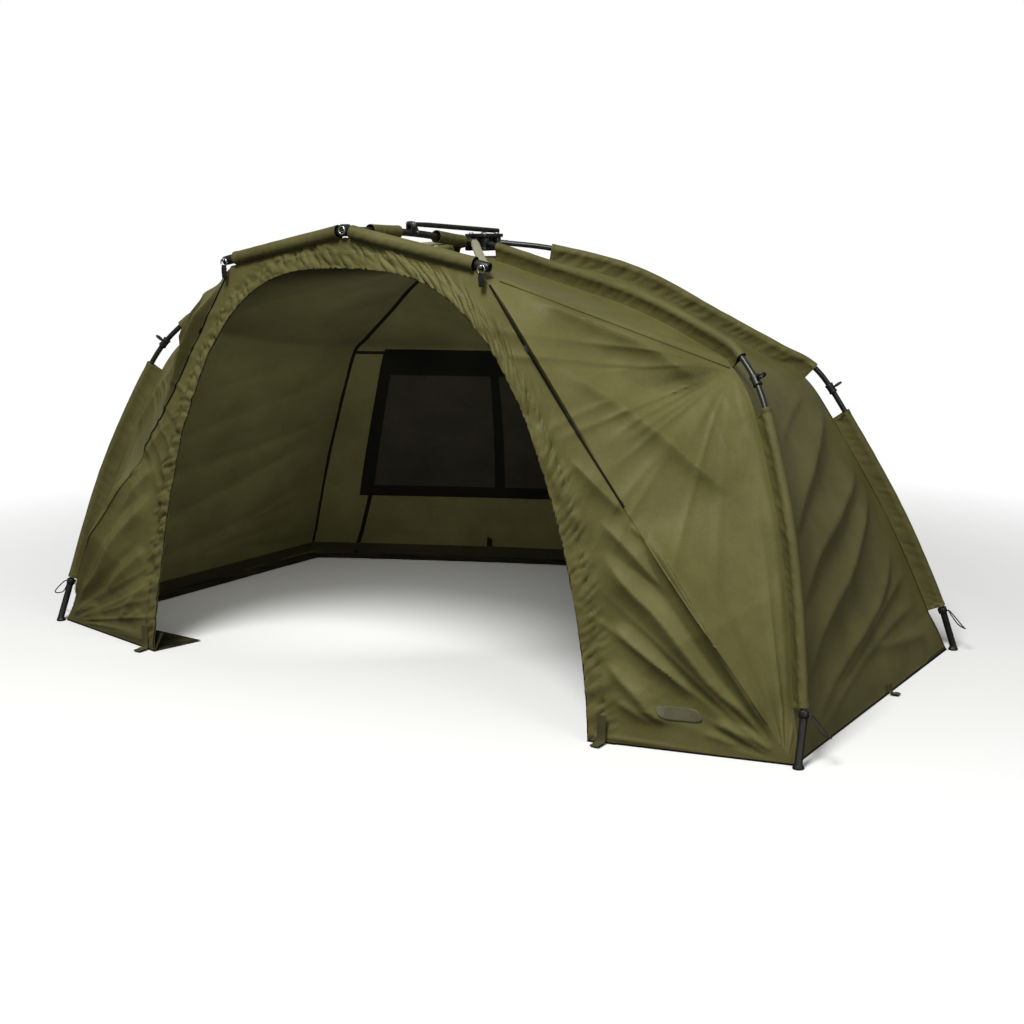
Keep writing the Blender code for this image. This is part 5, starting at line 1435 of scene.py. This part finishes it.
top, foot, inner = (along_stations(border, at, len(run)) for border in borders)
rows = [top + (foot - top) * t for t in np.linspace(0, 1, 6)]
rows += [foot + (inner - foot) * t for t in np.linspace(0, 1, 9)[1:]]
skirt = np.array(rows[::-1])[:, ::-1]
across, down = laid_out(skirt)
ripple = random_hills(across / 0.035, down / 0.03, 47) * 0.5 + 0.5
row = np.arange(len(skirt))[:, None]
skirt[..., 2] += np.where(row < 8, 0.0035 * ripple * eased(row + 0.35), 0)
made = sheet_of("skirt_strip", skirt, (ground_cloth,), THIN_CLOTH)
declare(skirt)
drawn_in(made, "skirt", slot="black_cloth")

# Door hem
# The doorway's edge is turned over and stitched down with two rows, which pucker
# it. Zip teeth run along its edge, where a door panel can be closed.
HEM_WIDE = 0.050


def on_sheet(grid, down, across, off):
    """Places on a sheet at shares down and across it, so far off it. Between
    its points they are read off by straight lines both ways."""
    rows, columns = grid.shape[:2]
    r = np.clip(np.asarray(down, float) * (rows - 1), 0, rows - 1.001)
    c = np.clip(np.asarray(across, float) * (columns - 1), 0, columns - 1.001)
    r, c = np.broadcast_arrays(r, c)
    i, j = r.astype(int), c.astype(int)
    u, v = (r - i)[..., None], (c - j)[..., None]

    def between(values):
        low = values[i, j] * (1 - v) + values[i, j + 1] * v
        return low * (1 - u) + (values[i + 1, j] * (1 - v) + values[i + 1, j + 1] * v) * u

    return between(grid) + between(facing(grid)) * np.asarray(off)[..., None]


def stitches(line, outs, every=0.0050, long=0.0036, wide=0.0007):
    """A row of stitches along a line: small eight-sided grains of thread."""
    at = np.arange(every / 2, lengths(line)[-1], every)
    spots = at_length(line, at)
    along = unit(at_length(line, at + 0.001) - at_length(line, at - 0.001))
    outs = read_off(at, lengths(line), outs)
    outs = unit(outs - np.sum(outs * along, axis=1, keepdims=True) * along)
    half = (along * long / 2, np.cross(along, outs) * wide, outs * wide * 0.8)
    points = np.stack([spots + step * way for step in half for way in (1, -1)], axis=1)
    upper = [(0, 2, 4), (2, 1, 4), (1, 3, 4), (3, 0, 4)]
    pattern = np.array(upper + [(b, a, 5) for a, b, _ in upper])
    faces = (pattern[None] + 6 * np.arange(len(at))[:, None, None]).reshape(-1, 3)
    uv = np.repeat(at, 6)[:, None] * (0, 1)
    return points.reshape(-1, 3), faces.tolist(), uv


# Sewing thread: dark olive, twisted, a little shiny.
thread = coated("olive_sewing_thread", "#34331C", "#55532F", 0.5)
threads_long = laid_out(surround)[1][-1]
share = np.linspace(0, 1, surround.shape[1])


def beside_door(apart, off):
    """The line on the door surround this far from the opening's edge."""
    return on_sheet(surround, 1 - apart / threads_long, share, off)


steps = np.array(
    [0.0008, 0.004, 0.008, 0.013, 0.018, 0.023, 0.028, 0.033, 0.038, 0.043, 0.047, HEM_WIDE]
)
steps = steps[::-1, None]
puckers = random_hills(ARCH_AT / 0.0085 + steps / 0.009 + 60, steps / 0.016, 33)
lifts = (0.0013 + 0.0013 * puckers) * eased((HEM_WIDE - steps) / 0.008)
lifts += 0.0016 + 0.0008 * eased((HEM_WIDE - steps) / 0.006)
band = beside_door(steps, lifts)
panel("door_hem_band", band, ["door_surround"], held="folded")
rows = []
for apart in (0.0405, 0.0465):
    line = beside_door(apart, 0.0042)
    rows.append(stitches(line, beside_door(apart, 0.0052) - line))
made = mesh_of("door_hem_stitches", joined(*rows), thread, 60.0, outwards=False)
drawn_in(made)
line = beside_door(0.0020, 0.0026)
tape = strip(line, beside_door(0.0020, 0.0036) - line, 0.0034, 0.0014, 0.0005, 2)
made = mesh_of("door_zip_tape", tape, black_tape, 50.0)
drawn_in(made, slot="black_cloth")
out = beside_door(0.0020, 0.0036) - line
teeth = stitches(line + (0, -0.0006, 0), out, 0.0052, 0.0030, 0.0020)
made = mesh_of("door_zip_teeth", teeth, nylon, 20.0, outwards=False)
drawn_in(made, slot="black_plastic")

# Zips and seams of the front
# A zip runs from each corner fitting halfway down between the wing and the
# surround. Below it and along the roof the panels are lap-seamed.
FRONT_POINTS = 420
ZIP_POINTS = 215
PULLER_POINT = 62
for name, side in SIDES:
    wing = WINGS[name]
    across_long = laid_out(wing)[0][:, -1]
    down_share = np.linspace(0.012, 0.985, FRONT_POINTS)
    reach = np.interp(down_share, np.linspace(0, 1, len(wing)), across_long)
    column = (0.0005 / reach) ** (1 / CROWDING)
    line = on_sheet(wing, down_share, column if side > 0 else 1 - column, 0.0022)
    out = front_way(line)
    zipped, outs = line[:ZIP_POINTS], out[:ZIP_POINTS]
    tape = strip(zipped, outs, 0.0058, 0.0018, 0.0007, 3)
    drawn_in(mesh_of(f"wing_zip_tape_{name}", tape, black_tape, 50.0), slot="black_cloth")
    teeth = stitches(zipped + outs * 0.0014, outs, 0.0045, 0.0030, 0.0018)
    made = mesh_of(f"wing_zip_teeth_{name}", teeth, nylon, 20.0, outwards=False)
    drawn_in(made, slot="black_plastic")
    lap = strip(line[ZIP_POINTS - 5 :], out[ZIP_POINTS - 5 :], 0.0040, 0.0012, 0.0005, 2)
    drawn_in(mesh_of(f"wing_seam_{name}", lap, olive, 50.0))
    puller, facing_out = line[PULLER_POINT], out[PULLER_POINT]
    way = unit(line[PULLER_POINT + 8] - line[PULLER_POINT - 8])
    outline, hole = rounded_rectangle(0.006, 0.019, 0.0024), ring(12) * 0.0014 + (0, 0.0060)
    size = (0.0014, nylon, puller + facing_out * 0.0035, np.cross(way, facing_out), -way)
    made = stamped(f"wing_zip_puller_{name}", outline, [hole], *size)
    drawn_in(made, slot="black_plastic")
    seam = CORNER_SKIN + (SHOULDER - CORNER_SKIN) * np.linspace(0.07, 0.985, 90)[:, None]
    seam = seam * (side, 1, 1)
    out = square_to(seam, (0.35 * side, -0.55, 0.75))
    lap = carried(seam + out * 0.0012, out, rounded_rectangle(0.011, 0.0018, 0.0007, 3))
    drawn_in(mesh_of(f"roof_seam_{name}", lap, olive, 50.0))
    sewn = stitches(seam + out * 0.0023 + np.cross(ways(seam), out) * 0.0028, out)
    drawn_in(mesh_of(f"roof_seam_stitches_{name}", sewn, thread, 60.0, outwards=False))

# Peg tabs and patch
# Loops of olive webbing at the doorway's feet and the walls' feet take pegs. A
# bare rubber patch is sewn on beside the doorway.
# Olive webbing: polyester, its ribs drawn 2.5 mm apart, darker than the cloth.
webbing = woven("olive_webbing", "#4E4D2C", "#413F23", DRAWN_RIB, 0.70, 0.04, 0.4)
for name, side in SIDES:
    spot = DOOR_FOOT * (side, 1, 1) + (side * 0.040, 0.004, 0)
    route = [
        (0, -0.0035, 0.075), (0, -0.0040, 0.045), (0, -0.0045, 0.018), (0, -0.010, 0.0045),
        (0, -0.026, 0.0022), (0, -0.0385, 0.0024), (0, -0.0400, 0.0040), (0, -0.0380, 0.0056),
        (0, -0.026, 0.0058), (0, -0.014, 0.0080),
    ]
    line = spot + smooth(route, 48)
    loop = carried(line, (1, 0, 0), rounded_rectangle(0.0014, 0.025, 0.0006, 2))
    drawn_in(mesh_of(f"door_peg_tab_{name}", loop, webbing, 50.0))
    middle = FOOT + (REAR_FOOT - FOOT) * 0.56
    route = [
        (0.0035, 0, 0.030), (0.0045, 0, 0.012), (0.011, 0, 0.0035), (0.026, 0, 0.0022),
        (0.031, 0, 0.0036), (0.026, 0, 0.0052), (0.016, 0, 0.0062),
    ]
    line = (middle + smooth(route, 40)) * (side, 1, 1)
    loop = carried(line, (0, 1, 0), rounded_rectangle(0.0014, 0.022, 0.0006, 2))
    drawn_in(mesh_of(f"wall_peg_tab_{name}", loop, webbing, 50.0))

# Moulded rubber: olive-grey, smooth and dull.
rubber = coated("olive_grey_rubber", "#55533B", "#605E45", 0.62)
turn = np.linspace(0, 2 * np.pi, 60, endpoint=False)
out_in = np.array([1.0, 1.0, 0.985, 0.93, 0.6, 0.25])[:, None]
lifts = np.array([0.0006, 0.0024, 0.0031, 0.0034, 0.0034, 0.0034])[:, None]
cosine, sine = np.cos(turn), np.sin(turn)
down = 0.474 - 0.125 * out_in * np.sign(cosine) * np.abs(cosine) ** 0.45
across = 0.970 + 0.0053 * out_in * np.sign(sine) * np.abs(sine) ** 0.7
spots = on_sheet(surround, down, across, lifts)
flat = np.stack([down * 0.5, across * 4.0], axis=-1).reshape(-1, 2)
shape = (spots.reshape(-1, 3), skinned(*spots.shape[:2]), flat)
made = mesh_of("bare_patch_right", shape, rubber, 50.0)
drawn_in(made, slot="black_plastic")

# Stage
# A pale floor that keeps the shelter's shadow and fades to white, under a white
# sky. A soft lamp hangs high up before the doorway, a weak one to the right, and
# a small one in the doorway lights the inside.
floor_mesh = bpy.data.meshes.new("floor")
corners = [(-60, -60, 0), (60, -60, 0), (60, 60, 0), (-60, 60, 0)]
floor_mesh.from_pydata(corners, [], [(0, 1, 2, 3)])
floor = bpy.data.objects.new("floor", floor_mesh)
bpy.context.scene.collection.objects.link(floor)
paper, tree, shader = finish_of("white_paper_floor", {"Roughness": 0.9, "IOR": 1.4})
shader.inputs["Base Color"].default_value = linear("#F2F2F0")
spot = add(tree, "TexCoord").node.outputs["Object"]
radius = add(tree, "VectorMath", {0: spot}, operation="LENGTH").node.outputs["Value"]
far = add(tree, "MapRange", {"Value": radius, "From Min": 1.6, "From Max": 3.2})
seen = add(tree, "LightPath").node.outputs["Is Camera Ray"]
share = add(tree, "Math", {0: far, 1: seen}, operation="MULTIPLY")
white = add(tree, "Emission", {"Color": (1, 1, 1, 1), "Strength": 1.0})
mixed = add(tree, "MixShader", {0: share, 1: shader.outputs[0], 2: white})
dull = add(tree, "BsdfDiffuse", {"Color": linear("#5A5A5A")})
mixed = add(tree, "MixShader", {0: seen, 1: dull, 2: mixed})
tree.links.new(mixed, tree.nodes["Material Output"].inputs["Surface"])
floor_mesh.materials.append(paper)

sky = bpy.data.worlds.new("sky")
bpy.context.scene.world = sky
sky.use_nodes = True
tree = sky.node_tree
tree.nodes.clear()
seen = add(tree, "LightPath").node.outputs["Is Camera Ray"]
soft = add(tree, "Background", {"Color": (1, 1, 1, 1), "Strength": 0.26})
bright = add(tree, "Background", {"Color": (1, 1, 1, 1), "Strength": 1.0})
mixed = add(tree, "MixShader", {0: seen, 1: soft, 2: bright})
output = tree.nodes.new("ShaderNodeOutputWorld")
tree.links.new(mixed, output.inputs["Surface"])

for name, wide, high, spread, power, place, target in (
    ("softbox", 2.2, 2.2, 180, 480.0, (0.9, -4.2, 5.9), (0.0, -0.2, 0.5)),
    ("fill", 2.4, 2.4, 180, 44.0, (5.2, -2.6, 2.0), (0.4, 0.0, 0.5)),
    ("inside", 0.7, 0.12, 110, 3.4, (0.1, -0.74, 0.88), (-0.9, 0.4, 0.30)),
):
    lamp = bpy.data.lights.new(name, "AREA")
    lamp.shape = "ELLIPSE"
    lamp.spread = math.radians(spread)
    lamp.size, lamp.size_y = wide, high
    lamp.energy = power
    hung = bpy.data.objects.new(name, lamp)
    hung.location = place
    aim = np.array(target) - np.array(place)
    hung.rotation_euler = (
        math.atan2(math.hypot(aim[0], aim[1]), -aim[2]),
        0.0,
        math.atan2(aim[1], aim[0]) - math.pi / 2,
    )
    bpy.context.scene.collection.objects.link(hung)

bpy.context.scene.view_settings.view_transform = "Standard"
